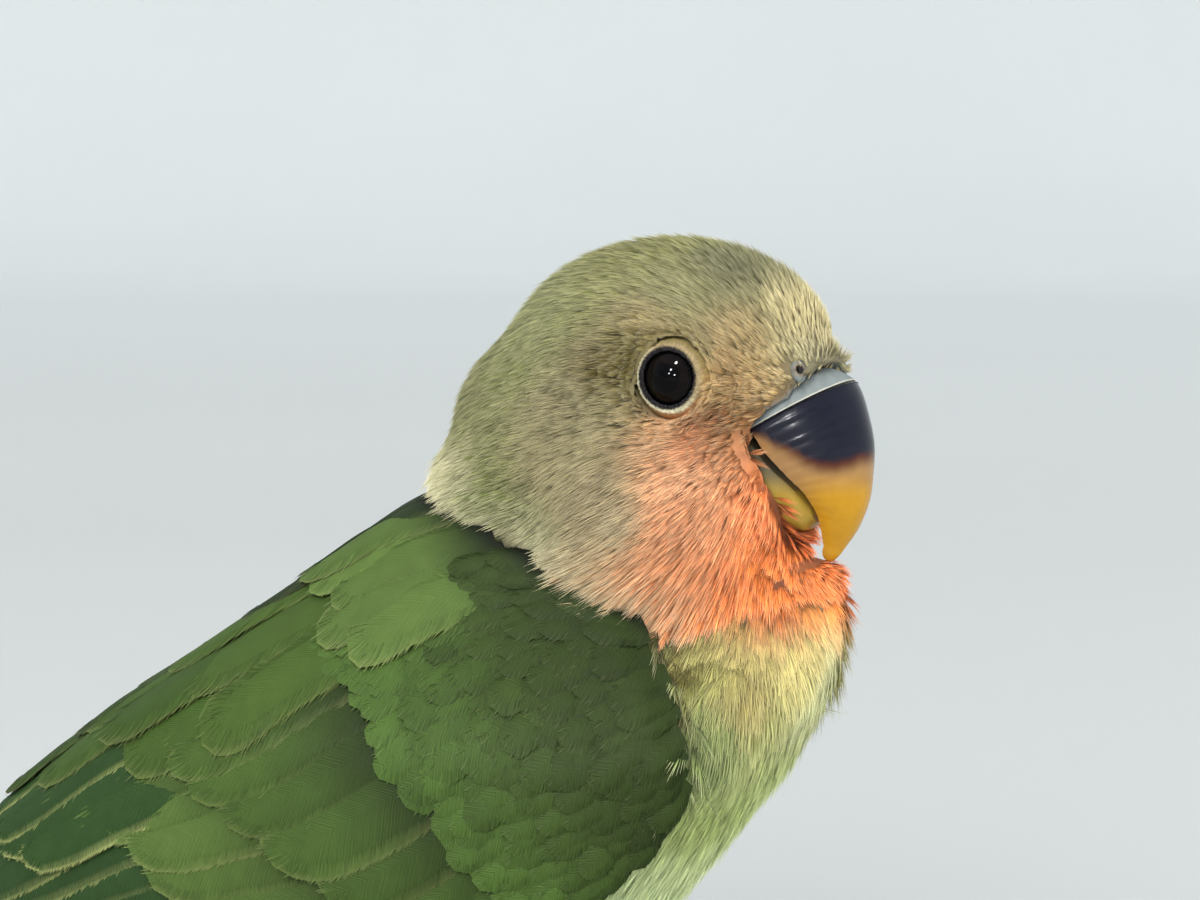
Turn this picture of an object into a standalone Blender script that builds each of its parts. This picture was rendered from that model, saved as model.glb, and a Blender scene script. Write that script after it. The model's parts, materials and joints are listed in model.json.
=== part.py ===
"""A young peach-faced lovebird standing on a floor, life size, as a still model.

The bird faces +X with its right side towards -Y. Its body slopes down to the tail, its
head is turned a little to its right, and its toes stand on flats at one level.

Shapes are worked out in millimetres in three plain sets of coordinates:
  side     x forwards, y to the left, z up, from a point near the middle of the bird
  back     t along the back from the nape to the tail, n square to the back, y sideways
  head     f forwards, l to the left, h up, from the point midway between the eyes
"""

import math

import bmesh
import bpy
import numpy as np
from mathutils import Vector

MM = 0.001
GAP = 0.3
COARSE_GAP = 0.6

# The back: where the nape meets it, and how steeply it falls towards the tail.
NAPE = (-17.6, 0.0, -3.9)
BACK_SLOPE = math.radians(37)

# The head: the point between the eyes, and how far the head is turned to the right.
BETWEEN_EYES = (12.2, 0.0, 8.8)
HEAD_PIVOT_F = -6.0
HEAD_TURN = math.radians(6)

# The trunk under its feathers, by distance along the back: the line of the back, the line
# of the breast and belly, and half the width.
TRUNK_T = (-30, -28, -25, -18, -10, 0, 12, 24, 36, 48, 60, 72)
TRUNK_TOP = (-30, -26.8, -22.6, -13, -6, -3.6, -3.0, -2.8, -3.0, -4.0, -6.2, -9)
TRUNK_BOTTOM = (-33.0, -35.4, -37.8, -41.8, -44.8, -47.6, -49.6, -49.0, -44.6, -36.5, -26.8, -19)
TRUNK_HALF_WIDTH = (4, 8.5, 13, 18.5, 21, 22.3, 22.6, 21.4, 18.6, 14.6, 10.8, 7.6)
TRUNK_ROUNDNESS = 2.25
# The shoulders draw in under the head: where that starts and ends, and the share lost.
SHOULDER_Z = (-28.0, -12.0)
SHOULDER_X = (-42.0, -22.0)
SHOULDER_LOSS = 0.46
BREAST_END_T = -2.0
RUMP_START_T = 40.0
RUMP_END_T = 71.0
NECK_DEPTH = 6.0

# The outside of the folded wing follows an egg round the trunk.
WING_T = (-20, -12, -4, 6, 18, 30, 42, 54, 66, 78, 90)
WING_TOP = (-11, -6.0, -2.6, -1.6, -1.2, -0.6, 0.2, 0.2, -1.6, -4.2, -7.2)
WING_BOTTOM = (-45, -47, -49, -51, -52, -49, -43, -35.5, -26, -18, -13)
WING_HALF_WIDTH = (18.6, 21.2, 23, 24.2, 24.2, 22.6, 19.8, 16.2, 12.4, 9, 6.6)
# The wing's upper edge and lower edge, as turns round that egg from the back.
WING_UPPER_TURN = (58, 36, 20, 12, 10, 10, 11, 14, 20, 28, 36)
WING_LOWER_TURN = (120, 126, 130, 131, 128, 121, 114, 107, 100, 92, 86)
WING_CORE_DEPTH = 2.2
WING_CORE_END_T = 33.0

# Flat ends of the toes on the floor, and the foot above them.
FLOOR_Z = -77.0
FOOT_X = -9.0
FOOT_Y = 9.5
ANKLE = (-18.5, 9.3, -65.5)
TARSUS_FOOT = (FOOT_X - 1.2, FOOT_Y, FLOOR_Z + 3.4)
TARSUS_RADIUS = 1.55
TARSUS_SHARES = (0.0, 0.15, 0.5, 0.88, 1.0)
TARSUS_SWELL = (1.15, 1.12, 0.95, 1.08, 1.1)

EYE_AT = (0.3, 9.3, -0.8)
EYE_RADIUS = 3.5
EYE_OPENING = 2.75
LID_THICKNESS = 0.8
LID_GAP = 0.3

COLOURS = {
    "head": ((0.36, 0.38, 0.17), 0.85),
    "neck": ((0.78, 0.36, 0.17), 0.85),
    "breast": ((0.50, 0.47, 0.20), 0.85),
    "torso": ((0.36, 0.48, 0.20), 0.85),
    "rump": ((0.02, 0.09, 0.42), 0.8),
    "tail": ((0.07, 0.20, 0.06), 0.6),
    "wing": ((0.08, 0.17, 0.04), 0.6),
    "eye": ((0.01, 0.008, 0.006), 0.05),
    "lid": ((0.72, 0.68, 0.56), 0.6),
    "cere": ((0.42, 0.47, 0.42), 0.5),
    "bill_upper": ((0.03, 0.035, 0.06), 0.3),
    "bill_lower": ((0.55, 0.42, 0.12), 0.35),
    "thigh": ((0.36, 0.48, 0.20), 0.85),
    "tarsus": ((0.33, 0.33, 0.32), 0.6),
    "foot": ((0.33, 0.33, 0.32), 0.6),
    "claw": ((0.10, 0.09, 0.08), 0.35),
}


def smooth(stations, values, at):
    """A value between stations, on a curve that never swings past them."""
    x = np.asarray(stations, float)
    y = np.asarray(values, float)
    step = np.diff(x)
    slope = np.diff(y) / step
    tangent = np.zeros(len(x))
    for i in range(1, len(x) - 1):
        if slope[i - 1] * slope[i] > 0:
            tangent[i] = 2 * slope[i - 1] * slope[i] / (slope[i - 1] + slope[i])
    tangent[0] = slope[0]
    tangent[-1] = slope[-1]
    at = np.clip(np.asarray(at, float), x[0], x[-1])
    i = np.clip(np.searchsorted(x, at) - 1, 0, len(x) - 2)
    u = (at - x[i]) / step[i]
    a = (1 + 2 * u) * (1 - u) ** 2 * y[i]
    b = u * (1 - u) ** 2 * step[i] * tangent[i]
    c = u * u * (3 - 2 * u) * y[i + 1]
    d = u * u * (u - 1) * step[i] * tangent[i + 1]
    return a + b + c + d


def from_back(t, n, y):
    """Side coordinates of a point given along and square to the back."""
    t, n, y = np.broadcast_arrays(np.asarray(t, float), n, y)
    x = NAPE[0] - math.cos(BACK_SLOPE) * t - math.sin(BACK_SLOPE) * n
    z = NAPE[2] - math.sin(BACK_SLOPE) * t + math.cos(BACK_SLOPE) * n
    return np.stack([x, y, z], axis=-1)


def ramp(value, limits):
    """0 before the first limit and 1 after the second, with a smooth rise between."""
    u = np.clip((np.asarray(value, float) - limits[0]) / (limits[1] - limits[0]), 0, 1)
    return u * u * (3 - 2 * u)


def on_body(t, n, y):
    """A point of the trunk or wing in side coordinates, drawn in at the shoulders."""
    points = from_back(t, n, y)
    loss = SHOULDER_LOSS * ramp(points[..., 2], SHOULDER_Z) * ramp(points[..., 0], SHOULDER_X)
    points[..., 1] *= 1 - loss
    return points


def from_head(points):
    """Side coordinates of points given in the head's own coordinates."""
    points = np.asarray(points, float)
    f = points[..., 0] - HEAD_PIVOT_F
    l = points[..., 1]
    x = BETWEEN_EYES[0] + HEAD_PIVOT_F + math.cos(HEAD_TURN) * f + math.sin(HEAD_TURN) * l
    y = -math.sin(HEAD_TURN) * f + math.cos(HEAD_TURN) * l
    z = BETWEEN_EYES[2] + points[..., 2]
    return np.stack([x, y, z], axis=-1)


def mesh_object(name, points, faces):
    """An object of one closed mesh, its points given in millimetres."""
    mesh = bpy.data.meshes.new(name)
    mesh.from_pydata((np.asarray(points, float) * MM).tolist(), [], [list(map(int, f)) for f in faces])
    shape = bmesh.new()
    shape.from_mesh(mesh)
    bmesh.ops.recalc_face_normals(shape, faces=shape.faces)
    if shape.calc_volume(signed=True) < 0:
        bmesh.ops.reverse_faces(shape, faces=shape.faces)
    shape.to_mesh(mesh)
    shape.free()
    made = bpy.data.objects.new(name, mesh)
    bpy.context.scene.collection.objects.link(made)
    return made


def rings_object(name, rings):
    """A closed body from rings of points in order, with flat ends."""
    rings = np.asarray(rings, float)
    count, around = rings.shape[:2]
    faces = []
    for i in range(count - 1):
        for j in range(around):
            k = (j + 1) % around
            faces.append((i * around + j, i * around + k, (i + 1) * around + k, (i + 1) * around + j))
    faces.append(tuple(range(around))[::-1])
    faces.append(tuple((count - 1) * around + j for j in range(around)))
    return mesh_object(name, rings.reshape(-1, 3), faces)


def remove(piece):
    mesh = piece.data
    bpy.data.objects.remove(piece, do_unlink=True)
    bpy.data.meshes.remove(mesh)


def keep_largest(piece):
    """Keeps only the largest closed surface of a piece, which also fills sealed hollows."""
    shape = bmesh.new()
    shape.from_mesh(piece.data)
    shape.verts.ensure_lookup_table()
    unseen = set(shape.verts)
    islands = []
    while unseen:
        front = [unseen.pop()]
        island = set(front)
        while front:
            for edge in front.pop().link_edges:
                for vert in edge.verts:
                    if vert in unseen:
                        unseen.remove(vert)
                        island.add(vert)
                        front.append(vert)
        islands.append(island)
    if len(islands) > 1:
        def reach(island):
            points = np.array([v.co[:] for v in island])
            return float(np.prod(np.ptp(points, axis=0) + 1e-6))
        islands.sort(key=reach)
        for island in islands[:-1]:
            bmesh.ops.delete(shape, geom=list(island), context="VERTS")
    shape.to_mesh(piece.data)
    shape.free()


def boolean(piece, others, operation, solver="EXACT"):
    """Applies one Boolean of a piece with a collection of closed bodies, then drops them."""
    group = bpy.data.collections.new("operands")
    for other in others:
        group.objects.link(other)
    modifier = piece.modifiers.new(operation.title(), "BOOLEAN")
    modifier.operation = operation
    modifier.solver = solver
    modifier.operand_type = "COLLECTION"
    modifier.collection = group
    graph = bpy.context.evaluated_depsgraph_get()
    made = bpy.data.meshes.new_from_object(piece.evaluated_get(graph))
    piece.modifiers.remove(modifier)
    old = piece.data
    piece.data = made
    bpy.data.meshes.remove(old)
    for other in others:
        remove(other)
    bpy.data.collections.remove(group)
    keep_largest(piece)
    return piece


def copy_of(piece, name):
    twin = piece.copy()
    twin.data = piece.data.copy()
    twin.name = name
    bpy.context.scene.collection.objects.link(twin)
    return twin


def section(turns, top, bottom, half_width, roundness):
    """Points (n, y) round one cross-section, for turns in degrees from the back."""
    angle = np.radians(np.asarray(turns, float))
    power = 2 / roundness
    n = np.sign(np.cos(angle)) * np.abs(np.cos(angle)) ** power
    y = np.sign(np.sin(angle)) * np.abs(np.sin(angle)) ** power
    return (top + bottom) / 2 + (top - bottom) / 2 * n, half_width * y


def trunk(name, grow=0.0):
    """The trunk from the throat to the end of the rump, as one closed body."""
    stations = np.concatenate([np.linspace(TRUNK_T[0], -22, 6), np.linspace(-16, TRUNK_T[-1], 17)])
    turns = np.arange(0, 360, 15)
    rings = []
    for t in stations:
        n, y = section(
            turns,
            smooth(TRUNK_T, TRUNK_TOP, t) + grow,
            smooth(TRUNK_T, TRUNK_BOTTOM, t) - grow,
            smooth(TRUNK_T, TRUNK_HALF_WIDTH, t) + grow,
            TRUNK_ROUNDNESS,
        )
        rings.append(on_body(t, n, y))
    return rings_object(name, rings)


# The head is the smooth union of these rounded forms: centre and half sizes.
HEAD_FORMS = {
    "skull": ((-4.5, 0.0, 0.3), (17.0, 14.0, 12.4)),
    "cheeks": ((-4.6, 0.0, -12.2), (13.4, 16.4, 13.0)),
    "nape": ((-13.0, 0.0, -7.0), (14.4, 14.0, 13.0)),
    "chin": ((-1.0, 0.0, -12.5), (9.3, 9.0, 9.5)),
    "hackle": ((-15.0, 0.0, -11.2), (13.6, 12.0, 9.6)),
}
HEAD_MIDDLE = np.array((-6.0, 0.0, -5.5))
HEAD_BLEND = 18


def head_reach(directions):
    """How far the head's surface lies from its middle, along each unit direction."""
    total = np.zeros(directions.shape[:-1])
    for centre, half in HEAD_FORMS.values():
        half = np.asarray(half)
        offset = (HEAD_MIDDLE - np.asarray(centre)) / half
        along = directions / half
        a = (along**2).sum(-1)
        b = (along * offset).sum(-1)
        c = (offset**2).sum(-1) - 1
        reach = (-b + np.sqrt(np.maximum(b * b - a * c, 0))) / a
        total += np.maximum(reach, 0) ** HEAD_BLEND
    return total ** (1 / HEAD_BLEND)


def head_form(name, grow=0.0, fineness=3):
    shape = bmesh.new()
    bmesh.ops.create_icosphere(shape, subdivisions=fineness, radius=1)
    shape.verts.ensure_lookup_table()
    ways = np.array([v.co[:] for v in shape.verts])
    ways /= np.linalg.norm(ways, axis=1, keepdims=True)
    faces = [[v.index for v in face.verts] for face in shape.faces]
    shape.free()
    points = HEAD_MIDDLE + ways * (head_reach(ways) + grow)[:, None]
    return mesh_object(name, from_head(points), faces)


# The upper bill from inside the head to its tip: the ridge, the cutting edge, half width.
BILL_RIDGE = ((8.6, -2.0), (10.8, -0.2), (13.6, -1.3), (15.0, -4.3), (15.7, -8.0),
              (15.5, -11.8), (14.4, -15.2), (13.0, -17.3))
BILL_EDGE = ((3.4, -5.3), (5.0, -5.0), (6.2, -5.7), (7.6, -7.8), (9.4, -10.0),
             (10.9, -12.0), (11.5, -14.3), (11.4, -16.9))
BILL_HALF_WIDTH = (6.2, 7.0, 6.9, 6.4, 5.5, 4.2, 2.6, 1.1)
BILL_TIP = (11.6, -18.5)
HORN_STATION = 2
# The left nostril is a bore from outside the cere to its floor.
NOSTRIL_MOUTH = (12.0, 4.4, 1.2)
NOSTRIL_FLOOR = (10.6, 2.9, -1.7)
NOSTRIL_RADIUS = 0.5
# The lower bill: its cutting edge, its keel, half width.
LOWER_EDGE = ((2.8, -8.0), (5.0, -6.6), (7.3, -9.2), (9.2, -11.4), (10.4, -13.4))
LOWER_KEEL = ((2.0, -12.6), (4.2, -14.0), (6.8, -15.4), (9.2, -15.7), (10.6, -14.8))
LOWER_HALF_WIDTH = (5.2, 5.9, 5.1, 3.6, 1.9)


def bill_ring(ridge, edge, half_width, around=9):
    """One section: an arch from one cutting edge over the ridge to the other."""
    turns = np.linspace(-math.pi / 2, math.pi / 2, around)
    ridge = np.asarray(ridge)
    edge = np.asarray(edge)
    fh = ridge + (edge - ridge) * (1 - np.cos(turns))[:, None]
    return np.stack([fh[:, 0], half_width * np.sin(turns), fh[:, 1]], axis=-1)


def bill_stations(ridge, edge, half_width, first, last, finer=2):
    """Sections between two stations, with extra ones read from smooth curves."""
    order = np.arange(len(half_width))
    at = np.linspace(first, last, (last - first) * finer + 1)
    curves = [smooth(order, [p[i] for p in line], at) for line in (ridge, edge) for i in (0, 1)]
    width = smooth(order, half_width, at)
    return [
        bill_ring((curves[0][i], curves[1][i]), (curves[2][i], curves[3][i]), width[i])
        for i in range(len(at))
    ]


def closed_by_point(rings, point):
    """Rings that end in a very small ring round a point."""
    point = np.array((point[0], 0.0, point[1]))
    return rings + [point + (rings[-1] - rings[-1].mean(axis=0)) * 0.12]


def cere(name):
    rings = bill_stations(BILL_RIDGE, BILL_EDGE, BILL_HALF_WIDTH, 0, HORN_STATION)
    piece = rings_object(name, from_head(rings))
    pits = []
    for side in (-1, 1):
        line = [Vector(from_head(on_side(end, side))) for end in (NOSTRIL_MOUTH, NOSTRIL_FLOOR)]
        pits.append(tube("nostril", line, [NOSTRIL_RADIUS, NOSTRIL_RADIUS], 8))
    return boolean(piece, pits, "DIFFERENCE")


def bill_upper(name):
    last = len(BILL_HALF_WIDTH) - 1
    rings = bill_stations(BILL_RIDGE, BILL_EDGE, BILL_HALF_WIDTH, HORN_STATION, last)
    rings = closed_by_point(rings, BILL_TIP)
    shift = np.array((GAP, 0.0, -GAP * 0.6))
    rings[0] = rings[0] + shift
    return rings_object(name, from_head(rings))


def bill_lower(name):
    rings = bill_stations(LOWER_KEEL, LOWER_EDGE, LOWER_HALF_WIDTH, 0, len(LOWER_HALF_WIDTH) - 1)
    return rings_object(name, from_head(rings))


def bill_socket(name):
    """What the head and throat give way to, so that the bill sits in them with a gap."""
    room = 1.5 * GAP
    ridge = [(f + room, h + room) for f, h in BILL_RIDGE]
    edge = [(f - 0.3 * room, h - 2 * room) for f, h in BILL_EDGE]
    ridge[0] = (BILL_RIDGE[0][0] - room, BILL_RIDGE[0][1] + room)
    edge[0] = (BILL_EDGE[0][0] - 3 * room, BILL_EDGE[0][1] - 2 * room)
    widths = [w + room for w in BILL_HALF_WIDTH]
    widths[0] += room
    rings = bill_stations(ridge, edge, widths, 0, len(widths) - 1)
    upper = rings_object(name, from_head(closed_by_point(rings, (BILL_TIP[0], BILL_TIP[1] - room))))
    keel = [(f - room, h - room) for f, h in LOWER_KEEL]
    top = [(f + 0.1, h + 1.2) for f, h in LOWER_EDGE]
    top[0] = (LOWER_EDGE[0][0] - 2 * room, top[0][1])
    keel[0] = (LOWER_KEEL[0][0] - 2 * room, keel[0][1])
    widths = [w + room for w in LOWER_HALF_WIDTH]
    lower = rings_object("lower", from_head(bill_stations(keel, top, widths, 0, len(widths) - 1)))
    return boolean(upper, [lower], "UNION")


def tube(name, line, radii, sides=8):
    """A round body along a line of points, with a radius at each."""
    line = [Vector(p) for p in line]
    rings = []
    aside = None
    for i, point in enumerate(line):
        way = (line[min(i + 1, len(line) - 1)] - line[max(i - 1, 0)]).normalized()
        if aside is None:
            aside = way.cross(Vector((0.0, 0.0, 1.0)))
            if aside.length < 0.1:
                aside = way.cross(Vector((0.0, 1.0, 0.0)))
        aside = (aside - way * aside.dot(way)).normalized()
        over = way.cross(aside)
        ring = []
        for k in range(sides):
            turn = 2 * math.pi * (k + 0.5) / sides
            ring.append(point + (aside * math.cos(turn) + over * math.sin(turn)) * radii[i])
        rings.append([tuple(p) for p in ring])
    return rings_object(name, rings)


def ball(name, centre, radius, rings=10, around=16):
    shape = bmesh.new()
    bmesh.ops.create_uvsphere(shape, u_segments=around, v_segments=rings, radius=radius)
    points = [np.array(v.co[:]) + np.asarray(centre) for v in shape.verts]
    faces = [[v.index for v in face.verts] for face in shape.faces]
    shape.free()
    return mesh_object(name, points, faces)


def eye_place(side):
    return np.array((EYE_AT[0], side * EYE_AT[1], EYE_AT[2]))


def eye(name, side):
    return ball(name, from_head(eye_place(side)), EYE_RADIUS)


def lid(name, side):
    """A ring of lid over the eye, part of a thin ball, with a rounded rim."""
    inner = EYE_RADIUS + LID_GAP
    outer = inner + LID_THICKNESS
    opening = math.asin(EYE_OPENING / inner)
    profile = [
        (inner, opening),
        ((inner + outer) / 2 + 0.1, opening - 0.08),
        (outer, opening + 0.12),
        (outer, opening + 0.45),
        (outer - 0.15, opening + 0.8),
        (inner, opening + 0.8),
        (inner, opening + 0.4),
    ]
    around = 18
    points = []
    for k in range(around):
        turn = 2 * math.pi * k / around
        for radius, polar in profile:
            away = radius * math.cos(polar)
            out = radius * math.sin(polar)
            spot = np.array((out * math.cos(turn), side * away, out * math.sin(turn) * 0.97))
            points.append(from_head(eye_place(side) + spot))
    size = len(profile)
    faces = []
    for k in range(around):
        m = (k + 1) % around
        for i in range(size):
            j = (i + 1) % size
            faces.append((k * size + i, k * size + j, m * size + j, m * size + i))
    return mesh_object(name, points, faces)


def head(name):
    piece = head_form(name, fineness=4)
    socket = EYE_RADIUS + LID_GAP + LID_THICKNESS + GAP
    hollows = [ball("socket", from_head(eye_place(side)), socket, 9, 16) for side in (-1, 1)]
    return boolean(piece, hollows + [bill_socket("socket")], "DIFFERENCE")


def wing_point(t, share, side, lift=0.0):
    """A point on the folded wing: share 0 is its upper edge and 1 its lower edge."""
    t = np.asarray(t, float)
    share = np.asarray(share, float)
    upper = smooth(WING_T, WING_UPPER_TURN, t)
    lower = smooth(WING_T, WING_LOWER_TURN, t)

    def skin(along, turn):
        n, y = section(
            turn,
            smooth(WING_T, WING_TOP, along),
            smooth(WING_T, WING_BOTTOM, along),
            smooth(WING_T, WING_HALF_WIDTH, along),
            TRUNK_ROUNDNESS,
        )
        return on_body(along, n, y * side)

    turn = upper + share * (lower - upper)
    here = skin(t, turn)
    ahead = skin(t + 0.5, turn) - skin(t - 0.5, turn)
    across = skin(t, turn + 1) - skin(t, turn - 1)
    normal = np.cross(across, ahead) * side
    normal /= np.linalg.norm(normal, axis=-1, keepdims=True)
    return here + normal * np.asarray(lift)[..., None]


def wing_girth(t):
    """How far it is round the wing from its upper edge to its lower edge."""
    shares = np.linspace(0, 1, 17)
    line = wing_point(np.full(17, float(t)), shares, 1)
    return float(np.linalg.norm(np.diff(line, axis=0), axis=1).sum())


def plate(name, top, bottom):
    """A closed thin body between two like grids of points, split alike on both faces."""
    top = np.asarray(top, float)
    bottom = np.asarray(bottom, float)
    rows, columns = top.shape[:2]
    points = np.concatenate([top.reshape(-1, 3), bottom.reshape(-1, 3)])
    under = rows * columns
    faces = []
    for i in range(rows - 1):
        for j in range(columns - 1):
            a = i * columns + j
            b = a + 1
            c = a + columns + 1
            d = a + columns
            corners = ((a, b, c), (a, c, d)) if j < columns / 2 - 0.5 else ((a, b, d), (b, c, d))
            for one, two, three in corners:
                faces.append((one, two, three))
                faces.append((one + under, three + under, two + under))
    rim = [j for j in range(columns)]
    rim += [i * columns + columns - 1 for i in range(1, rows)]
    rim += [(rows - 1) * columns + j for j in range(columns - 2, -1, -1)]
    rim += [i * columns for i in range(rows - 2, 0, -1)]
    for a, b in zip(rim, rim[1:] + rim[:1]):
        faces.append((a, a + under, b + under))
        faces.append((a, b + under, b))
    return mesh_object(name, points, faces)


# Where the wing's core starts, by share from its upper edge to its lower edge.
WING_FRONT_SHARE = (0.0, 0.25, 0.5, 0.75, 1.0)
WING_FRONT_T = (-3.0, -7.5, -12.5, -12.8, -10.0)


def wing_core(name, side, grow=0.0, outwards=0.0):
    """The body of the folded wing: a curved plate from its front edge to mid back."""
    shares = np.linspace(-0.06 if grow else 0.0, 1.06 if grow else 1.0, 9)
    rows = np.linspace(0, 1, 12 if grow else 7)
    end = WING_T[-1] if grow else WING_CORE_END_T
    edge = np.clip(shares, 0, 1)
    front = smooth(WING_FRONT_SHARE, WING_FRONT_T, edge) - 2.0 * grow
    t = front[None, :] + (end - front[None, :]) * rows[:, None]
    share = np.broadcast_to(shares, t.shape)
    rim = np.minimum(1, 3.2 * np.minimum(rows[:, None] + 0.06, 1.06 - rows[:, None]))
    rim = rim * np.minimum(1, 4.5 * np.minimum(edge + 0.05, 1.05 - edge))[None, :]
    if grow:
        rim = np.ones_like(t)
    top = wing_point(t, share, side, outwards + 0.0 * t - 0.9 * (1 - rim))
    bottom = wing_point(t, share, side, -WING_CORE_DEPTH - grow + 0.6 * (1 - rim))
    return plate(name, top, bottom)


# Each row of wing feathers: how many, the first and last root and tip as (t, share), the
# half width, the lift of root and tip over the wing's surface, and the tilt across a vane.
WING_ROWS = {
    "primary": (4, (20, 0.62), (16, 0.90), (86, 0.40), (66, 0.90), 4.6, (-1.75, -1.75), 0.25),
    "secondary": (4, (20, 0.32), (20, 0.82), (66, 0.28), (52, 0.82), 5.8, (-0.9, -0.9), 0.3),
    "tertial": (2, (16, 0.14), (16, 0.30), (60, 0.16), (63, 0.32), 6.0, (-0.7, 0.4), 0.3),
    "greater_covert": (4, (8, 0.42), (6, 0.90), (32, 0.40), (24, 0.90), 5.4, (-0.7, 0.4), 0.3),
    "median_covert": (4, (-3, 0.38), (-5, 0.88), (16, 0.36), (9, 0.88), 5.4, (-0.7, 1.3), 0.3),
    "scapular": (3, (3, 0.10), (0, 0.32), (42, 0.10), (28, 0.32), 5.0, (-0.7, 1.3), 0.3),
}
VANE_THICKNESS = 0.55
VANE_PROFILE = ((0.0, 0.6), (0.3, 0.92), (0.65, 1.0), (0.9, 0.68), (1.0, 0.18))


def wing_vane(name, side, root, tip, half_width, lifts, tilt):
    """One feather lying along the folded wing, its root sunk in the wing's core."""
    along = np.array([p[0] for p in VANE_PROFILE])
    broad = np.array([p[1] for p in VANE_PROFILE]) * half_width
    t = root[0] + (tip[0] - root[0]) * along
    share = root[1] + (tip[1] - root[1]) * along
    girth = np.array([wing_girth(value) for value in t])
    rise = np.clip(along / 0.4, 0, 1)
    lift = lifts[0] + (lifts[1] - lifts[0]) * rise * rise * (3 - 2 * rise)
    across = np.array((-1.0, 0.0, 1.0))
    shares = share[:, None] + across * (broad / girth)[:, None]
    ts = np.broadcast_to(t[:, None], shares.shape)
    height = lift[:, None] - across * tilt * (broad / half_width)[:, None]
    height = height + np.array((0.0, 0.12, 0.0))
    top = wing_point(ts, shares, side, height + VANE_THICKNESS)
    bottom = wing_point(ts, shares, side, height)
    return plate(name, top, bottom)


def between(first, last, share):
    return tuple(a + (b - a) * share for a, b in zip(first, last))


def wing(name, side):
    """The folded wing: its core with rows of overlapping feathers."""
    core = wing_core(name, side)
    vanes = []
    for row, (count, root_a, root_b, tip_a, tip_b, half, lifts, tilt) in WING_ROWS.items():
        for k in range(count):
            share = k / (count - 1)
            root = between(root_a, root_b, share)
            tip = between(tip_a, tip_b, share)
            vanes.append(wing_vane(row, side, root, tip, half, lifts, tilt))
    boolean(core, vanes, "UNION", "MANIFOLD")
    return boolean(core, [head_form("clear", COARSE_GAP)], "DIFFERENCE", "MANIFOLD")


# The tail: feathers in pairs under the middle pair, each shorter, lower and further out.
TAIL_PAIRS = 4
TAIL_ROOT_T = RUMP_END_T + GAP
TAIL_ROOT_N = -14.6
TAIL_MIDDLE_LENGTH = 36.0
TAIL_SHORTER = 3.2
TAIL_LOWER = 0.87
TAIL_ASIDE = 2.6
TAIL_HALF_WIDTH = 4.6
TAIL_FLATTER = math.radians(7.5)
TAIL_STUB_LENGTH = 9.0
# The stub by distance along the tail: half its width and half its height.
TAIL_STUB = ((0.0, 6.6, 5.2), (4.0, 6.3, 4.4), (TAIL_STUB_LENGTH, 4.6, 2.0))


def tail_point(along, aside, lift):
    """A point of the tail: along it, sideways, and above its plane."""
    n = TAIL_ROOT_N + math.sin(TAIL_FLATTER) * along + math.cos(TAIL_FLATTER) * lift
    t = TAIL_ROOT_T + math.cos(TAIL_FLATTER) * along - math.sin(TAIL_FLATTER) * lift
    return from_back(t, n, aside)


def tail_vane(name, pair, side):
    length = TAIL_MIDDLE_LENGTH - TAIL_SHORTER * pair
    shares = np.array([p[0] for p in VANE_PROFILE])
    broad = np.array([0.75, 1.0, 1.0, 0.7, 0.24]) * TAIL_HALF_WIDTH
    middle = side * (0.9 + TAIL_ASIDE * pair) * (0.35 + 0.65 * shares)
    across = np.array((-1.0, 0.0, 1.0))
    aside = middle[:, None] + across * broad[:, None]
    along = np.broadcast_to((3.0 + (length - 3.0) * shares)[:, None], aside.shape)
    lift = 1.4 - TAIL_LOWER * pair - 0.045 * np.abs(aside) ** 1.5 + 0.2 * (side > 0)
    return plate(name, tail_point(along, aside, lift + VANE_THICKNESS), tail_point(along, aside, lift))


def tail(name):
    """A stub that meets the rump, with the tail feathers growing from it."""
    turns = np.radians(np.arange(0, 360, 30))
    rings = []
    for along, half_width, half_height in TAIL_STUB:
        rings.append(
            tail_point(
                np.full(len(turns), along) + 0.35 * (along == 0.0),
                half_width * np.sin(turns),
                half_height * np.cos(turns) - 0.8,
            )
        )
    stub = rings_object(name, rings)
    vanes = [tail_vane("vane", pair, side) for pair in range(TAIL_PAIRS) for side in (-1, 1)]
    return boolean(stub, vanes, "UNION", "MANIFOLD")


# The thigh in its feathers, from inside the belly to just above the ankle.
THIGH_LINE = ((-8.0, 9.6, -48.0), (-10.5, 9.8, -54.0), (-14.0, 9.7, -60.0), (-17.4, 9.4, -64.4))
THIGH_RADII = (6.0, 6.2, 4.4, 2.3)


def thigh_form(name, side, grow=0.0):
    order = np.arange(len(THIGH_RADII))
    at = np.linspace(0, order[-1], 7)
    line = np.stack([smooth(order, [p[i] for p in THIGH_LINE], at) for i in range(3)], axis=-1)
    line[:, 1] *= side
    return tube(name, line, smooth(order, THIGH_RADII, at) + grow, 12)


def thigh(name, side):
    piece = thigh_form(name, side)
    return boolean(piece, [trunk("clear", GAP), grown_tarsus(side)], "DIFFERENCE")


def on_side(point, side):
    """A point given for the left side, on the side asked for."""
    return Vector((point[0], side * point[1], point[2]))


def tarsus(name, side):
    start, end = on_side(ANKLE, side), on_side(TARSUS_FOOT, side)
    line = [start.lerp(end, share) for share in TARSUS_SHARES]
    return tube(name, line, [TARSUS_RADIUS * swell for swell in TARSUS_SWELL], 10)


# Each toe: its turn from straight ahead, outwards, its length, and its radius at the root.
TOES = {
    "toe_inner_front": (-14, 9.0, 1.55),
    "toe_outer_front": (12, 13.0, 1.7),
    "toe_outer_rear": (152, 11.5, 1.6),
    "toe_inner_rear": (204, 6.5, 1.5),
}
CLAW_LENGTH = 3.8
CLAW_RADIUS = 0.85
SOLE_FLAT = 0.35
HUB_HEIGHT = 1.15
HUB_RADIUS = 2.0
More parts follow.
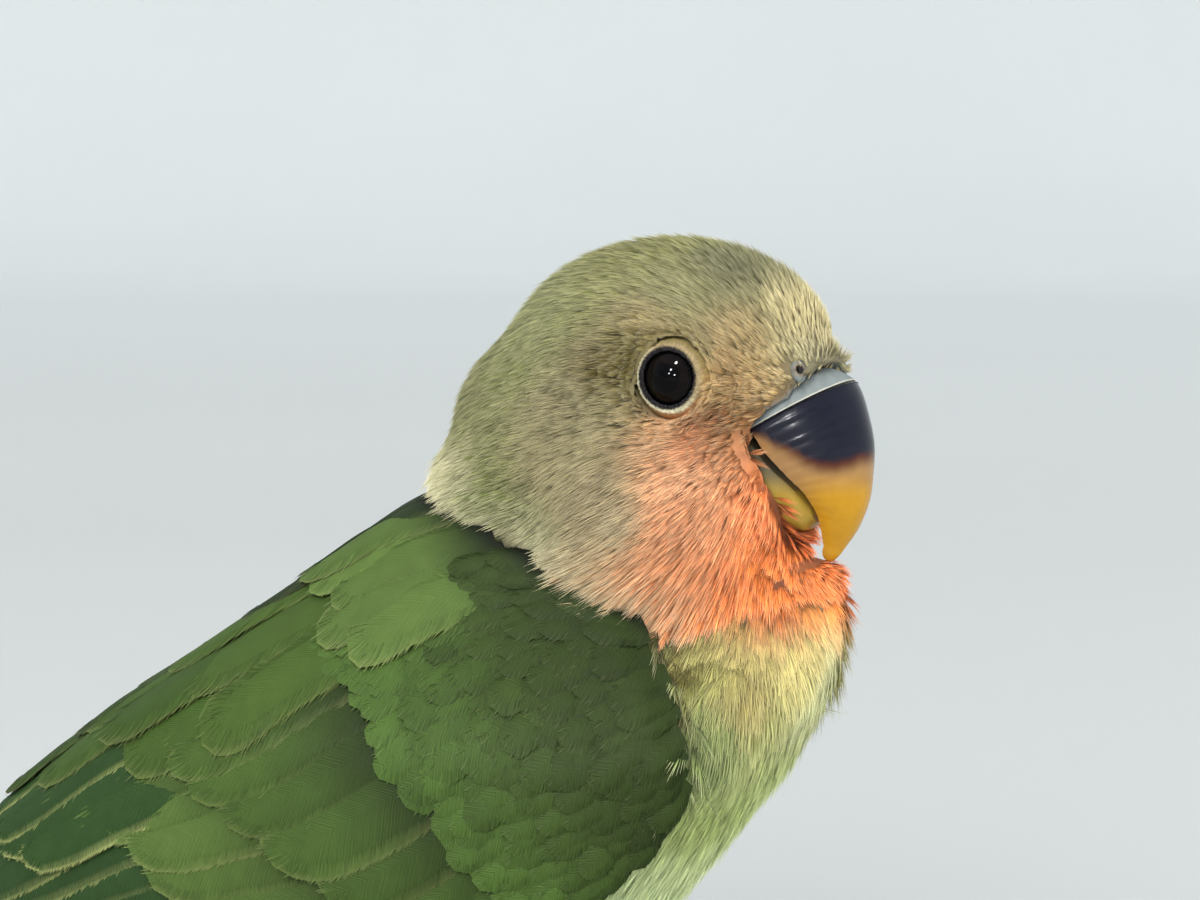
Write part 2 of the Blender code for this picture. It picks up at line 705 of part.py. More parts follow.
# Along a toe: the share of its length and its thickness. Along a claw: share and rise.
TOE_SWELL = ((0.0, 1.05), (0.25, 0.94), (0.5, 1.0), (0.75, 0.84), (1.0, 0.62))
CLAW_RISE = ((0.0, 0.0), (0.35, 0.32), (0.7, 0.14), (1.0, -0.42))


def toe_way(side, turn):
    angle = math.radians(turn)
    return Vector((math.cos(angle), side * math.sin(angle), 0.0))


def foot(name, side):
    """Four toes round a low hub, with flat soles on the floor."""
    hub = Vector((FOOT_X, side * FOOT_Y, FLOOR_Z))
    toes = []
    for turn, length, radius in TOES.values():
        way = toe_way(side, turn)
        line = []
        radii = []
        for share, swell in TOE_SWELL:
            r = radius * swell
            line.append(hub + way * (length * share) + Vector((0, 0, r - SOLE_FLAT)))
            radii.append(r)
        toes.append(tube("toe", line, radii, 8))
    body = ball(name, hub + Vector((0, 0, HUB_HEIGHT)), HUB_RADIUS, 8, 12)
    boolean(body, toes, "UNION")
    low = hub - Vector((30, 30, 10))
    slab = box("floor", low, hub + Vector((30, 30, 0)))
    boolean(body, [slab], "DIFFERENCE")
    return boolean(body, [grown_tarsus(side)], "DIFFERENCE")


def grown_tarsus(side):
    """The room that the thigh and the foot leave round the tarsus."""
    ankle, foot_end = on_side(ANKLE, side), on_side(TARSUS_FOOT, side)
    way = (foot_end - ankle).normalized()
    radius = TARSUS_RADIUS * max(TARSUS_SWELL) + GAP
    return tube("clear", [ankle, foot_end + way * GAP], [radius, radius], 10)


def box(name, low, high):
    corners = [(x, y, z) for x in (low[0], high[0]) for y in (low[1], high[1]) for z in (low[2], high[2])]
    faces = [(0, 1, 3, 2), (4, 6, 7, 5), (0, 4, 5, 1), (2, 3, 7, 6), (0, 2, 6, 4), (1, 5, 7, 3)]
    return mesh_object(name, corners, faces)


def claw(name, side, turn, length, radius):
    """A curved claw that starts at the toe's end and bends down to the floor."""
    way = toe_way(side, turn)
    start = Vector((FOOT_X, side * FOOT_Y, FLOOR_Z)) + way * (length + GAP)
    line = []
    radii = []
    first_height = radius * TOE_SWELL[-1][1] - SOLE_FLAT + 0.15
    for share, rise in CLAW_RISE:
        r = CLAW_RADIUS * (1 - 0.78 * share)
        height = max(first_height + rise, r * 0.94)
        line.append(start + way * (CLAW_LENGTH * share) + Vector((0, 0, height)))
        radii.append(r)
    return tube(name, line, radii, 7)


def slab_along_back(name, start, end):
    """A box across the whole trunk between two distances along the back."""
    corners = []
    for t in (start, end):
        for n in (-90, 40):
            for y in (-50, 50):
                corners.append(from_back(t, n, y))
    faces = [(0, 1, 3, 2), (4, 6, 7, 5), (0, 4, 5, 1), (2, 3, 7, 6), (0, 2, 6, 4), (1, 5, 7, 3)]
    return mesh_object(name, corners, faces)


def trunk_parts():
    """The neck, breast, torso and rump, parted by thin cuts from one trunk."""
    whole = trunk("trunk")
    recesses = [wing_core("recess", side, 2 * GAP, 12.0) for side in (-1, 1)]
    boolean(whole, recesses, "DIFFERENCE")
    neck = copy_of(whole, "neck")
    boolean(neck, [head_form("near", NECK_DEPTH)], "INTERSECT")
    boolean(neck, [head_form("clear", COARSE_GAP), bill_socket("bill")], "DIFFERENCE")
    boolean(whole, [head_form("clear", NECK_DEPTH + GAP)], "DIFFERENCE")
    cuts = {
        "breast": (-60, BREAST_END_T),
        "torso": (BREAST_END_T + GAP, RUMP_START_T),
        "rump": (RUMP_START_T + GAP, RUMP_END_T),
    }
    parts = [neck]
    for name, (start, end) in cuts.items():
        part = copy_of(whole, name)
        parts.append(boolean(part, [slab_along_back("slab", start, end)], "INTERSECT"))
    remove(whole)
    return parts


def finish(pieces):
    """Materials and smooth shading, and the whole bird moved onto its origin."""
    low = np.full(3, np.inf)
    high = np.full(3, -np.inf)
    for piece in pieces:
        points = np.array([v.co[:] for v in piece.data.vertices])
        low = np.minimum(low, points.min(axis=0))
        high = np.maximum(high, points.max(axis=0))
    bird = bpy.data.objects.new("lovebird", None)
    bpy.context.scene.collection.objects.link(bird)
    bird.location = (-(low[0] + high[0]) / 2, -(low[1] + high[1]) / 2, -low[2])
    for piece in pieces:
        kind = max((k for k in COLOURS if piece.name.startswith(k)), key=len)
        colour, roughness = COLOURS[kind]
        material = bpy.data.materials.new(piece.name)
        material.use_nodes = True
        shader = material.node_tree.nodes["Principled BSDF"]
        shader.inputs["Base Color"].default_value = (*colour, 1)
        shader.inputs["Roughness"].default_value = roughness
        shader.inputs["Metallic"].default_value = 0
        piece.data.materials.clear()
        piece.data.materials.append(material)
        piece.data.shade_smooth()
        piece.data.set_sharp_from_angle(angle=math.radians(40))
        piece.parent = bird


def main():
    for old in list(bpy.data.objects):
        bpy.data.objects.remove(old, do_unlink=True)
    pieces = [head("head"), cere("cere"), bill_upper("bill_upper"), bill_lower("bill_lower")]
    pieces += trunk_parts()
    pieces.append(tail("tail"))
    for side, word in ((-1, "right"), (1, "left")):
        pieces.append(eye(f"eye_{word}", side))
        pieces.append(lid(f"lid_{word}", side))
        pieces.append(wing(f"wing_{word}", side))
        pieces.append(thigh(f"thigh_{word}", side))
        pieces.append(tarsus(f"tarsus_{word}", side))
        pieces.append(foot(f"foot_{word}", side))
        for toe, (turn, length, radius) in TOES.items():
            name = toe.replace("toe", "claw") + "_" + word
            pieces.append(claw(name, side, turn, length, radius))
    finish(pieces)


main()
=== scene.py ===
"""The looks of the young lovebird: its skin, coat, wings, bill, eyes, feet, light and camera.

Shapes are worked out in millimetres in the same plain sets of coordinates as the solids:
  side     x forwards, y to the left, z up, from a point near the middle of the bird
  back     t along the back from the nape to the tail, n square to the back, y sideways
  head     f forwards, l to the left, h up, from the point midway between the eyes
"""

import json
import math
from typing import NamedTuple

import bmesh
import bpy
import numpy as np
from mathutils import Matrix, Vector
from mathutils.bvhtree import BVHTree

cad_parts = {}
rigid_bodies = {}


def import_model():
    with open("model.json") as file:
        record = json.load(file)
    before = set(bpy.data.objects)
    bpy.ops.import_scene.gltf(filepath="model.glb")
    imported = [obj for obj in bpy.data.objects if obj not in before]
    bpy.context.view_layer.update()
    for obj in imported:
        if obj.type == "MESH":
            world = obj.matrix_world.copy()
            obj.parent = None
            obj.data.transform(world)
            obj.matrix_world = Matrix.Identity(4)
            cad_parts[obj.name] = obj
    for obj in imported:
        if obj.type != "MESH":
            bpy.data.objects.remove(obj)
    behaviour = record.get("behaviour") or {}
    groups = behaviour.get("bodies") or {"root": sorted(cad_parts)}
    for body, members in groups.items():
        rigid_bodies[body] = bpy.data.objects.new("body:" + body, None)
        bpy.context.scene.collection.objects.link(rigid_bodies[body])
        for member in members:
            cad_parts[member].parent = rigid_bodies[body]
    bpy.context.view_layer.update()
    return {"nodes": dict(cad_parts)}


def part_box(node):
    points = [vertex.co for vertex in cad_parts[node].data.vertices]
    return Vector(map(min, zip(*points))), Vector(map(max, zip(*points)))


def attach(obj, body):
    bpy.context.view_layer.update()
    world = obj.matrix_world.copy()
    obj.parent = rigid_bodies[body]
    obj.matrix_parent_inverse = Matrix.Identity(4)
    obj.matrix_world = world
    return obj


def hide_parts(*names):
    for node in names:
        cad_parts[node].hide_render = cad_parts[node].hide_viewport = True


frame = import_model()

MM = 0.001
SIDES = ((-1, "right"), (1, "left"))

# The frame of the bird, as in the solids.
NAPE = (-17.6, 0.0, -3.9)
BACK_SLOPE = math.radians(37)
BETWEEN_EYES = (12.2, 0.0, 8.8)
HEAD_PIVOT_F = -6.0
HEAD_TURN = math.radians(6)
EYE_AT = (0.3, 9.3, -0.8)
NOSTRIL_AT = np.array((10.7, 5.5, -0.1))
EYE_RADIUS = 3.5
TRUNK_ROUNDNESS = 2.25
SHOULDER_Z = (-28.0, -12.0)
SHOULDER_X = (-42.0, -22.0)
SHOULDER_LOSS = 0.46

# The photo's view, round the middle of the picture on the bird's middle plane.
VIEW_AZIMUTH = 20
VIEW_ELEVATION = 5
VIEW_DISTANCE = 0.30
VIEW_WIDTH = 0.1165
SENSOR_WIDTH = 36.0


# Coordinates

def smooth(stations, values, at):
    """A value between stations, on a curve that never swings past them."""
    x = np.asarray(stations, float)
    y = np.asarray(values, float)
    step = np.diff(x)
    slope = np.diff(y) / step
    tangent = np.zeros(len(x))
    for i in range(1, len(x) - 1):
        if slope[i - 1] * slope[i] > 0:
            tangent[i] = 2 * slope[i - 1] * slope[i] / (slope[i - 1] + slope[i])
    tangent[0] = slope[0]
    tangent[-1] = slope[-1]
    at = np.clip(np.asarray(at, float), x[0], x[-1])
    i = np.clip(np.searchsorted(x, at) - 1, 0, len(x) - 2)
    u = (at - x[i]) / step[i]
    a = (1 + 2 * u) * (1 - u) ** 2 * y[i]
    b = u * (1 - u) ** 2 * step[i] * tangent[i]
    c = u * u * (3 - 2 * u) * y[i + 1]
    d = u * u * (u - 1) * step[i] * tangent[i + 1]
    return a + b + c + d


def ramp(value, limits):
    """0 before the first limit and 1 after the second, with a smooth rise between."""
    u = np.clip((np.asarray(value, float) - limits[0]) / (limits[1] - limits[0]), 0, 1)
    return u * u * (3 - 2 * u)


def mix(low, high, share):
    """From one value to another, by a share from 0 to 1."""
    return low * (1 - share) + high * share


def unit(vectors):
    """Vectors made one long."""
    return vectors / np.maximum(np.linalg.norm(vectors, axis=-1, keepdims=True), 1e-9)


def from_back(t, n, y):
    """Side coordinates of a point given along and square to the back."""
    t, n, y = np.broadcast_arrays(np.asarray(t, float), n, y)
    x = NAPE[0] - math.cos(BACK_SLOPE) * t - math.sin(BACK_SLOPE) * n
    z = NAPE[2] - math.sin(BACK_SLOPE) * t + math.cos(BACK_SLOPE) * n
    return np.stack([x, y, z], axis=-1)


def to_back(points):
    """Along the back and square to it, for points in side coordinates."""
    x = points[..., 0] - NAPE[0]
    z = points[..., 2] - NAPE[2]
    t = -math.cos(BACK_SLOPE) * x - math.sin(BACK_SLOPE) * z
    n = -math.sin(BACK_SLOPE) * x + math.cos(BACK_SLOPE) * z
    return t, n


def on_body(t, n, y):
    """A point of the trunk or wing in side coordinates, drawn in at the shoulders."""
    points = from_back(t, n, y)
    loss = SHOULDER_LOSS * ramp(points[..., 2], SHOULDER_Z) * ramp(points[..., 0], SHOULDER_X)
    points[..., 1] *= 1 - loss
    return points


def from_head(points):
    """Side coordinates of points given in the head's own coordinates."""
    points = np.asarray(points, float)
    f = points[..., 0] - HEAD_PIVOT_F
    l = points[..., 1]
    x = BETWEEN_EYES[0] + HEAD_PIVOT_F + math.cos(HEAD_TURN) * f + math.sin(HEAD_TURN) * l
    y = -math.sin(HEAD_TURN) * f + math.cos(HEAD_TURN) * l
    z = BETWEEN_EYES[2] + points[..., 2]
    return np.stack([x, y, z], axis=-1)


def to_head(points):
    """The head's own coordinates of points given in side coordinates."""
    x = points[..., 0] - BETWEEN_EYES[0] - HEAD_PIVOT_F
    y = points[..., 1]
    f = HEAD_PIVOT_F + math.cos(HEAD_TURN) * x - math.sin(HEAD_TURN) * y
    l = math.sin(HEAD_TURN) * x + math.cos(HEAD_TURN) * y
    return np.stack([f, l, points[..., 2] - BETWEEN_EYES[2]], axis=-1)


def eye_place(side):
    """The middle of an eye, in the head's own coordinates."""
    return np.array((EYE_AT[0], side * EYE_AT[1], EYE_AT[2]))


def middle_of(node):
    """The middle of a node's box in the frame."""
    low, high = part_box(node)
    return np.array((low + high) / 2)


# The zero of the side coordinates in the frame, read from the right eye.
BIRD = middle_of("eye_right") - from_head(eye_place(-1)) * MM


def to_frame(points):
    """Metres in the frame, for points in side coordinates."""
    return np.asarray(points, float) * MM + BIRD


def to_side(points):
    """Side coordinates, for points in metres in the frame."""
    return (np.asarray(points, float) - BIRD) / MM


# Colours

def linear(red, green, blue):
    """A colour given in 0 to 255 as it looks, in linear light."""
    c = np.array((red, green, blue)) / 255
    return np.where(c <= 0.04045, c / 12.92, ((c + 0.055) / 1.055) ** 2.4)


# The markings of the head, in its own coordinates on one side: place, reach and colour.
HEAD_MARKS = {
    "crown": ((-4, 3, 11.5), 8, (135, 138, 74)),
    "crown_front": ((5, 5, 9.5), 5, (107, 108, 71)),
    "crown_side": ((2.3, 9.2, 8.1), 4.5, (152, 150, 99)),
    "crown_back": ((-14, 8, 6), 7, (140, 147, 89)),
    "nape": ((-21, 8, -6), 8, (117, 123, 65)),
    "nape_low": ((-21, 9, -13), 6, (94, 114, 48)),
    "forehead": ((11, 3, 4.5), 3.6, (244, 226, 168)),
    "bill_edge": ((12.2, 3, 0.6), 2.6, (213, 202, 159)),
    "lore_top": ((8.2, 9, 2.3), 3.0, (208, 178, 122)),
    "lore": ((7.2, 10, -1.0), 3.2, (216, 173, 114)),
    # The next mark is the face's colour darkened by a painted shadow by the gape.
    "lore_low": ((6.2, 9.8, -4.0), 1.9, (152, 67, 28)),
    "brow": ((0, 12.5, 4.5), 3.6, (158, 140, 92)),
    "brow_front": ((4.6, 11.5, 2.0), 2.6, (161, 141, 93)),
    "behind_eye": ((-5, 13.5, 0.6), 3.4, (111, 96, 48)),
    "ear_up": ((-8.5, 13.5, -3), 4, (155, 144, 105)),
    "ear": ((-8.4, 14.7, -8), 4.5, (152, 140, 99)),
    "ear_low": ((-4.6, 16.0, -10.5), 4, (146, 130, 96)),
    "ruff": ((-12, 13.4, -15.5), 5, (143, 144, 101)),
    "ruff_low": ((-7.6, 14.2, -17.4), 2.4, (151, 121, 80)),
    "patch": ((-5.8, 13.6, -18.8), 1.6, (223, 128, 75)),
    "patch_edge": ((-3.2, 14.0, -18.8), 1.2, (206, 176, 132)),
    "under_eye": ((1.5, 12.8, -5.0), 2.6, (213, 159, 113)),
    "cheek_up": ((4.0, 11.5, -6.4), 2.4, (199, 98, 48)),
    "cheek_top": ((3.7, 12.2, -9.4), 3.0, (255, 186, 138)),
    "cheek": ((4.6, 12.0, -13.2), 4.4, (230, 152, 104)),
    "cheek_back": ((-0.8, 15.4, -13.0), 2.8, (184, 166, 130)),
    "cheek_low": ((3.4, 10.5, -18.0), 4.2, (255, 162, 104)),
    "cheek_front": ((8.0, 6.2, -12.3), 2.8, (252, 146, 86)),
    "cheek_hem": ((-0.6, 12.0, -20.6), 2.4, (255, 206, 152)),
    "chin": ((6, 3, -18), 5, (240, 132, 66)),
}
# The markings of the trunk, in side coordinates on one side.
TRUNK_MARKS = {
    "throat": ((23, 2.2, -8.5), 4.5, (253, 144, 65)),
    # The next mark is the throat's orange darkened by a painted shadow between cheek and breast.
    "throat_side": ((20.5, 6.5, -11.5), 3.0, (159, 58, 16)),
    "breast_top": ((22.6, 7.2, -15.2), 3.4, (205, 192, 123)),
    "breast_middle": ((25, 2.6, -18.5), 4.2, (199, 202, 150)),
    "breast_outer": ((18.8, 10.4, -18.2), 3.0, (160, 143, 86)),
    "breast": ((22, 9.0, -22.5), 4.4, (162, 167, 106)),
    "breast_side": ((16.5, 14.0, -23.0), 5.0, (114, 129, 75)),
    "neck_side": ((13.3, 12.3, -17.0), 2.4, (130, 103, 42)),
    # The next two marks are painted shadow, near black, in the hollows under the ruff.
    "hollow": ((7.5, 12.6, -14.6), 3.0, (22, 22, 18)),
    "nape_hollow": ((-6.0, 11.5, -8.5), 3.0, (24, 26, 20)),
    "belly": ((17.5, 9.0, -31.0), 7, (165, 182, 106)),
    "belly_low": ((12, 9, -39), 9, (201, 215, 157)),
    "vent_front": ((0, 10, -54), 10, (182, 202, 138)),
    "flank": ((-15, 16, -50), 11, (150, 178, 106)),
    "vent": ((-34, 5, -62), 12, (160, 190, 118)),
    "under_tail": ((-56, 4, -62), 9, (152, 186, 110)),
    "mantle": ((-24, 4, -8), 12, (96, 126, 58)),
    "back": ((-42, 4, -23), 12, (88, 122, 54)),
    "rump": ((-60, 4, -37), 10, (20, 52, 168)),
    "rump_side": ((-54, 12, -46), 9, (22, 58, 172)),
    "tail_covert": ((-74, 3, -50), 9, (70, 126, 84)),
}


def markings(points, marks):
    """Colours that run softly into each other from the named places."""
    points = np.array(points, float)
    points[..., 1] = np.abs(points[..., 1])
    total = np.zeros(points.shape[:-1])
    colour = np.zeros(points.shape)
    for place, reach, tone in marks.values():
        weight = (reach / (np.linalg.norm(points - np.array(place), axis=-1) + 1.0)) ** 5
        total += weight
        colour += weight[..., None] * linear(*tone)
    return colour / total[..., None]


# The head is the smooth union of rounded forms, as in the solids.
HEAD_FORMS = {
    "skull": ((-4.5, 0.0, 0.3), (17.0, 14.0, 12.4)),
    "cheeks": ((-4.6, 0.0, -12.2), (13.4, 16.4, 13.0)),
    "nape": ((-13.0, 0.0, -7.0), (14.4, 14.0, 13.0)),
    "chin": ((-1.0, 0.0, -12.5), (9.3, 9.0, 9.5)),
    "hackle": ((-15.0, 0.0, -11.2), (13.6, 12.0, 9.6)),
}
HEAD_MIDDLE = np.array((-6.0, 0.0, -5.5))
HEAD_BLEND = 18


def head_reach(directions):
    """How far the head's surface lies from its middle, along each unit direction."""
    total = np.zeros(directions.shape[:-1])
    for centre, half in HEAD_FORMS.values():
        half = np.asarray(half)
        offset = (HEAD_MIDDLE - np.asarray(centre)) / half
        along = directions / half
        a = (along**2).sum(-1)
        b = (along * offset).sum(-1)
        c = (offset**2).sum(-1) - 1
        reach = (-b + np.sqrt(np.maximum(b * b - a * c, 0))) / a
        total += np.maximum(reach, 0) ** HEAD_BLEND
    return total ** (1 / HEAD_BLEND)


def head_share(points):
    """How far out points in side coordinates lie, as a share of the head's own reach."""
    away = to_head(points) - HEAD_MIDDLE
    distance = np.linalg.norm(away, axis=-1)
    return distance / head_reach(unit(away))


# Meshes and materials

def link(obj):
    """The object, put into the scene."""
    bpy.context.scene.collection.objects.link(obj)
    return obj


def mesh_from_arrays(name, points, faces):
    """A mesh of equal faces, from arrays in metres."""
    mesh = bpy.data.meshes.new(name)
    sides = faces.shape[1]
    mesh.vertices.add(len(points))
    mesh.vertices.foreach_set("co", np.ascontiguousarray(points, np.float32).ravel())
    mesh.loops.add(faces.size)
    mesh.loops.foreach_set("vertex_index", np.ascontiguousarray(faces, np.int32).ravel())
    mesh.polygons.add(len(faces))
    mesh.polygons.foreach_set("loop_start", np.arange(0, faces.size, sides, dtype=np.int32))
    mesh.update(calc_edges=True)
    return mesh


def set_tint(mesh, colours):
    """The mesh's own colours, one for each point or one for all."""
    layer = mesh.color_attributes.new(name="tint", type="FLOAT_COLOR", domain="POINT")
    rgba = np.ones((len(mesh.vertices), 4), np.float32)
    rgba[:, :3] = colours
    layer.data.foreach_set("color", rgba.ravel())


def set_number(mesh, name, values):
    """A named number for each of the mesh's points."""
    layer = mesh.attributes.new(name=name, type="FLOAT", domain="POINT")
    layer.data.foreach_set("value", np.ascontiguousarray(values, np.float32).ravel())


def set_bake_map(mesh, places):
    """The OFBake map, from one place for each vertex."""
    index = np.zeros(len(mesh.loops), np.int32)
    mesh.loops.foreach_get("vertex_index", index)
    layer = mesh.uv_layers.new(name="OFBake")
    layer.data.foreach_set("uv", np.ascontiguousarray(places[index], np.float32).ravel())


def side_points(mesh):
    """The mesh's points, in side coordinates."""
    points = np.zeros(len(mesh.vertices) * 3, np.float32)
    mesh.vertices.foreach_get("co", points)
    return to_side(points.reshape(-1, 3))


def vertex_normals(mesh):
    """The normal at each of the mesh's points."""
    normals = np.zeros(len(mesh.vertices) * 3, np.float32)
    mesh.vertex_normals.foreach_get("vector", normals)
    return normals.reshape(-1, 3)


def outward(mesh):
    """Turns every face of a closed mesh outwards."""
    shape = bmesh.new()
    shape.from_mesh(mesh)
    bmesh.ops.recalc_face_normals(shape, faces=shape.faces)
    shape.to_mesh(mesh)
    shape.free()


def piece(name, mesh, material, stands_for=()):
    """The mesh as a piece of the bird's one body and in place of its nodes."""
    mesh.materials.append(material)
    obj = link(bpy.data.objects.new(name, mesh))
    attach(obj, "root")
    if stands_for:
        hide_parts(*stands_for)
    return obj


def grid_faces(index, closed=False):
    """Four-sided faces between the rows of a grid of point numbers, closed round each row or not."""
    after = np.roll(index, -1, axis=1)
    here = index if closed else index[:, :-1]
    after = after if closed else after[:, :-1]
    return np.stack([here[:-1], after[:-1], after[1:], here[1:]], axis=-1).reshape(-1, 4)


def new_material(name, roughness, **sockets):
    """A node material and its shader, with constants on the shader's own sockets."""
    material = bpy.data.materials.new(name)
    material.use_nodes = True
    shader = material.node_tree.nodes["Principled BSDF"]
    shader.inputs["Roughness"].default_value = roughness
    for socket, value in sockets.items():
        shader.inputs[socket.replace("_", " ")].default_value = value
    return material, shader


def add_node(material, kind, **settings):
    """A node with numbers set on its inputs, and its other settings."""
    node = material.node_tree.nodes.new(kind)
    for key, value in settings.items():
        if key in node.inputs:
            node.inputs[key].default_value = value
        else:
            setattr(node, key, value)
    return node


def worked(material, operation, *values):
    """The output of a Math node that works on numbers and other nodes' outputs."""
    node = add_node(material, "ShaderNodeMath", operation=operation)
    for socket, value in zip(node.inputs, values):
        if isinstance(value, (int, float)):
            socket.default_value = value
        else:
            material.node_tree.links.new(value, socket)
    return node.outputs[0]


def noise(material, scale, detail=3.0):
    """Noise fixed to the object, its scale in features a metre."""
    place = add_node(material, "ShaderNodeTexCoord")
    texture = add_node(material, "ShaderNodeTexNoise", Scale=scale, Detail=detail)
    material.node_tree.links.new(place.outputs["Object"], texture.inputs["Vector"])
    return texture


def bump(material, shader, height, strength, depth_mm):
    """A fine relief from a height between 0 and 1."""
    links = material.node_tree.links
    node = add_node(material, "ShaderNodeBump", Strength=strength, Distance=depth_mm * MM)
    links.new(height, node.inputs["Height"])
    links.new(node.outputs["Normal"], shader.inputs["Normal"])


def tinted(material, factor, low, high):
    """The tint attribute, made darker and lighter by a factor from 0 to 1."""
    links = material.node_tree.links
    tint = add_node(material, "ShaderNodeAttribute", attribute_name="tint")
    level = add_node(material, "ShaderNodeMapRange")
    level.inputs["To Min"].default_value = low
    level.inputs["To Max"].default_value = high
    links.new(factor, level.inputs["Value"])
    scaled = add_node(material, "ShaderNodeVectorMath", operation="SCALE")
    links.new(tint.outputs["Color"], scaled.inputs[0])
    links.new(level.outputs["Result"], scaled.inputs["Scale"])
    return scaled.outputs["Vector"]


def grained(name, roughness, grain, spread, relief=None, **sockets):
    """A material of the mesh's own tint, with noise in its colour and in its surface.

    The grain is the noise's scale and detail, the spread how dark and light it makes the tint,
    and the relief the scale, detail, strength and depth in millimetres of a second noise.
    """
    material, shader = new_material(name, roughness, **sockets)
    colour = tinted(material, noise(material, *grain).outputs["Fac"], *spread)
    material.node_tree.links.new(colour, shader.inputs["Base Color"])
    if relief:
        bump(material, shader, noise(material, *relief[:2]).outputs["Fac"], *relief[2:])
    return material


FEATHER_SHEEN_ROUGHNESS = 0.4
RELIEF_FINER = 12


def feather_material(name, roughness, grain, sheen):
    """Soft blotches over the tint, with a relief much finer than they are."""
    relief = (grain * RELIEF_FINER, 3.0, 0.35, 0.05)
    shine = {"Specular_IOR_Level": 0.12, "Sheen_Weight": sheen, "Sheen_Roughness": FEATHER_SHEEN_ROUGHNESS}
    return grained(name, roughness, (grain, 3.0), (0.72, 1.28), relief, **shine)


BARB_LINE = 0.12
STREAK_SCALE = 1.9
STREAK = (1.1, -0.35)
VANE_BLOTCH = 0.6


def vane_material():
    """Feather colour with fine lines and soft streaks along the barbs of each feather."""
    material, shader = new_material("vane", 0.72, Specular_IOR_Level=0.12)
    links = material.node_tree.links
    barb = add_node(material, "ShaderNodeAttribute", attribute_name="barb").outputs["Fac"]
    wave = worked(material, "SINE", worked(material, "MULTIPLY", barb, 2 * math.pi))
    streaks = add_node(material, "ShaderNodeTexNoise", noise_dimensions="1D", Scale=STREAK_SCALE, Detail=3.0)
    links.new(barb, streaks.inputs["W"])
    streak = worked(material, "MULTIPLY_ADD", streaks.outputs["Fac"], *STREAK)
    line = worked(material, "MULTIPLY_ADD", wave, BARB_LINE, streak)
    blotches = noise(material, 420, 5.0).outputs["Fac"]
    both = worked(material, "MULTIPLY_ADD", blotches, VANE_BLOTCH, line)
    links.new(tinted(material, both, 0.62, 1.38), shader.inputs["Base Color"])
    bump(material, shader, wave, 0.3, 0.04)
    return material


# Feathers: each is a fan of fine barbs, and each barb a thin tapered blade.

BARB_POINTS = 5
BARB_FACES = np.array(((0, 1, 3), (0, 3, 2), (2, 3, 4)))
BLADE_SHAPE = ((0, -0.6), (0, 0.6), (1, -1.0), (1, 1.0), (2, 0.0))
# Which edge of its blade each point lies on; the lower edge gets painted shade.
BLADE_SIDE = np.array((-1.0, 1.0, -1.0, 1.0, 0.0))
BLADE_ALONG = np.array((0.0, 0.0, 0.45, 0.45, 1.0))
BARB_STATIONS = (0.0, 0.42, 1.0)
BARB_CURVE = 1.75
BARB_VARY = 0.1
TUFT_PATCH = 0.003
OUTLINE_AT = (0.0, 0.2, 0.5, 0.78, 0.93, 1.0)
OUTLINE_BODY = (0.45, 0.8, 1.0, 0.86, 0.55, 0.12)
OUTLINE_FLIGHT = (0.6, 0.88, 1.0, 0.98, 0.74, 0.08)


class Vane(NamedTuple):
    """How a kind of feather is built and shaded."""

    barbs: int
    blade: float
    start: tuple = (0.04, 0.50)
    end: tuple = (0.55, 1.02)
    loose: float = 0.1
    tilt: float = 0.35
    outline: tuple = OUTLINE_BODY
    dark_to: tuple = (0.15, 0.7)
    barb_shade: float = 0.25
    tip_light: float = 0.1
    vary: float = 0.08
    inner: float = 0.0


def fan(rng, vane, length, half_width):
    """Local points (along, across, up) of one feather for each length, barb by barb.

    Returns the points (feather, barb, 5, 3), how far out on the feather each lies, and
    how far along its own barb.
    """
    order = (np.arange(vane.barbs) + 0.5) / vane.barbs
    order = np.concatenate([order, order])
    hand = np.repeat((-1.0, 1.0), vane.barbs)
    shape = (len(length), 2 * vane.barbs)
    order = order + rng.normal(0, 0.2 / vane.barbs, shape)
    size = length[:, None]
    half = half_width[:, None]
    start = size * np.clip(vane.start[0] + (vane.start[1] - vane.start[0]) * order, 0, 0.95)
    reach = vane.end[0] + (vane.end[1] - vane.end[0]) * order
    end = size * reach * (1 + 0.35 * vane.loose * rng.normal(0, 1, shape))
    aside = hand * half * smooth(OUTLINE_AT, vane.outline, np.clip(reach, 0, 1))
    aside = aside + 0.45 * vane.loose * half * rng.normal(0, 1, shape)
    line = np.zeros((*shape, 3, 2))
    for station, share in enumerate(BARB_STATIONS):
        share = vane.inner + (1 - vane.inner) * share
        line[..., station, 0] = start + share * (end - start)
        line[..., station, 1] = (1 - (1 - share) ** BARB_CURVE) * aside
    way = unit(line[..., 2, :] - line[..., 0, :])
    square = np.stack([-way[..., 1], way[..., 0]], axis=-1) * hand[:, None]
    turn = vane.tilt + rng.normal(0, BARB_VARY, shape)
    points = np.zeros((*shape, BARB_POINTS, 3))
    for k, (station, width) in enumerate(BLADE_SHAPE):
        offset = square * (width * vane.blade * np.cos(turn))[..., None]
        points[..., k, :2] = line[..., station, :] + offset
        points[..., k, 2] = -width * vane.blade * np.sin(turn)
    points[..., 4, 2] += BARB_VARY * vane.loose * size * rng.normal(0, 1, shape)
    out = points[..., 0] / size[..., None]
    return points, out, np.broadcast_to(BLADE_ALONG, (*shape, BARB_POINTS))


SHEET_REACH = 0.975
SHEET_SHARE = 0.92
SHEET_LOW = 0.04
BARB_PITCH = 0.36
BARB_SLOPE = 1.3


def sheet(vane, length, half_width, rows, columns):
    """The closed part of each feather as a grid of points, and how far out each lies."""
    out = np.linspace(0.0, SHEET_REACH, rows)[None, :, None]
    across = np.linspace(-1, 1, columns)[None, None, :]
    points = np.zeros((len(length), rows, columns, 3))
    points[..., 0] = out * length[:, None, None]
    width = half_width[:, None, None] * smooth(OUTLINE_AT, vane.outline, out)
    points[..., 1] = across * width * SHEET_SHARE
    points[..., 2] = -SHEET_LOW
    return points, np.broadcast_to(out, points.shape[:3])


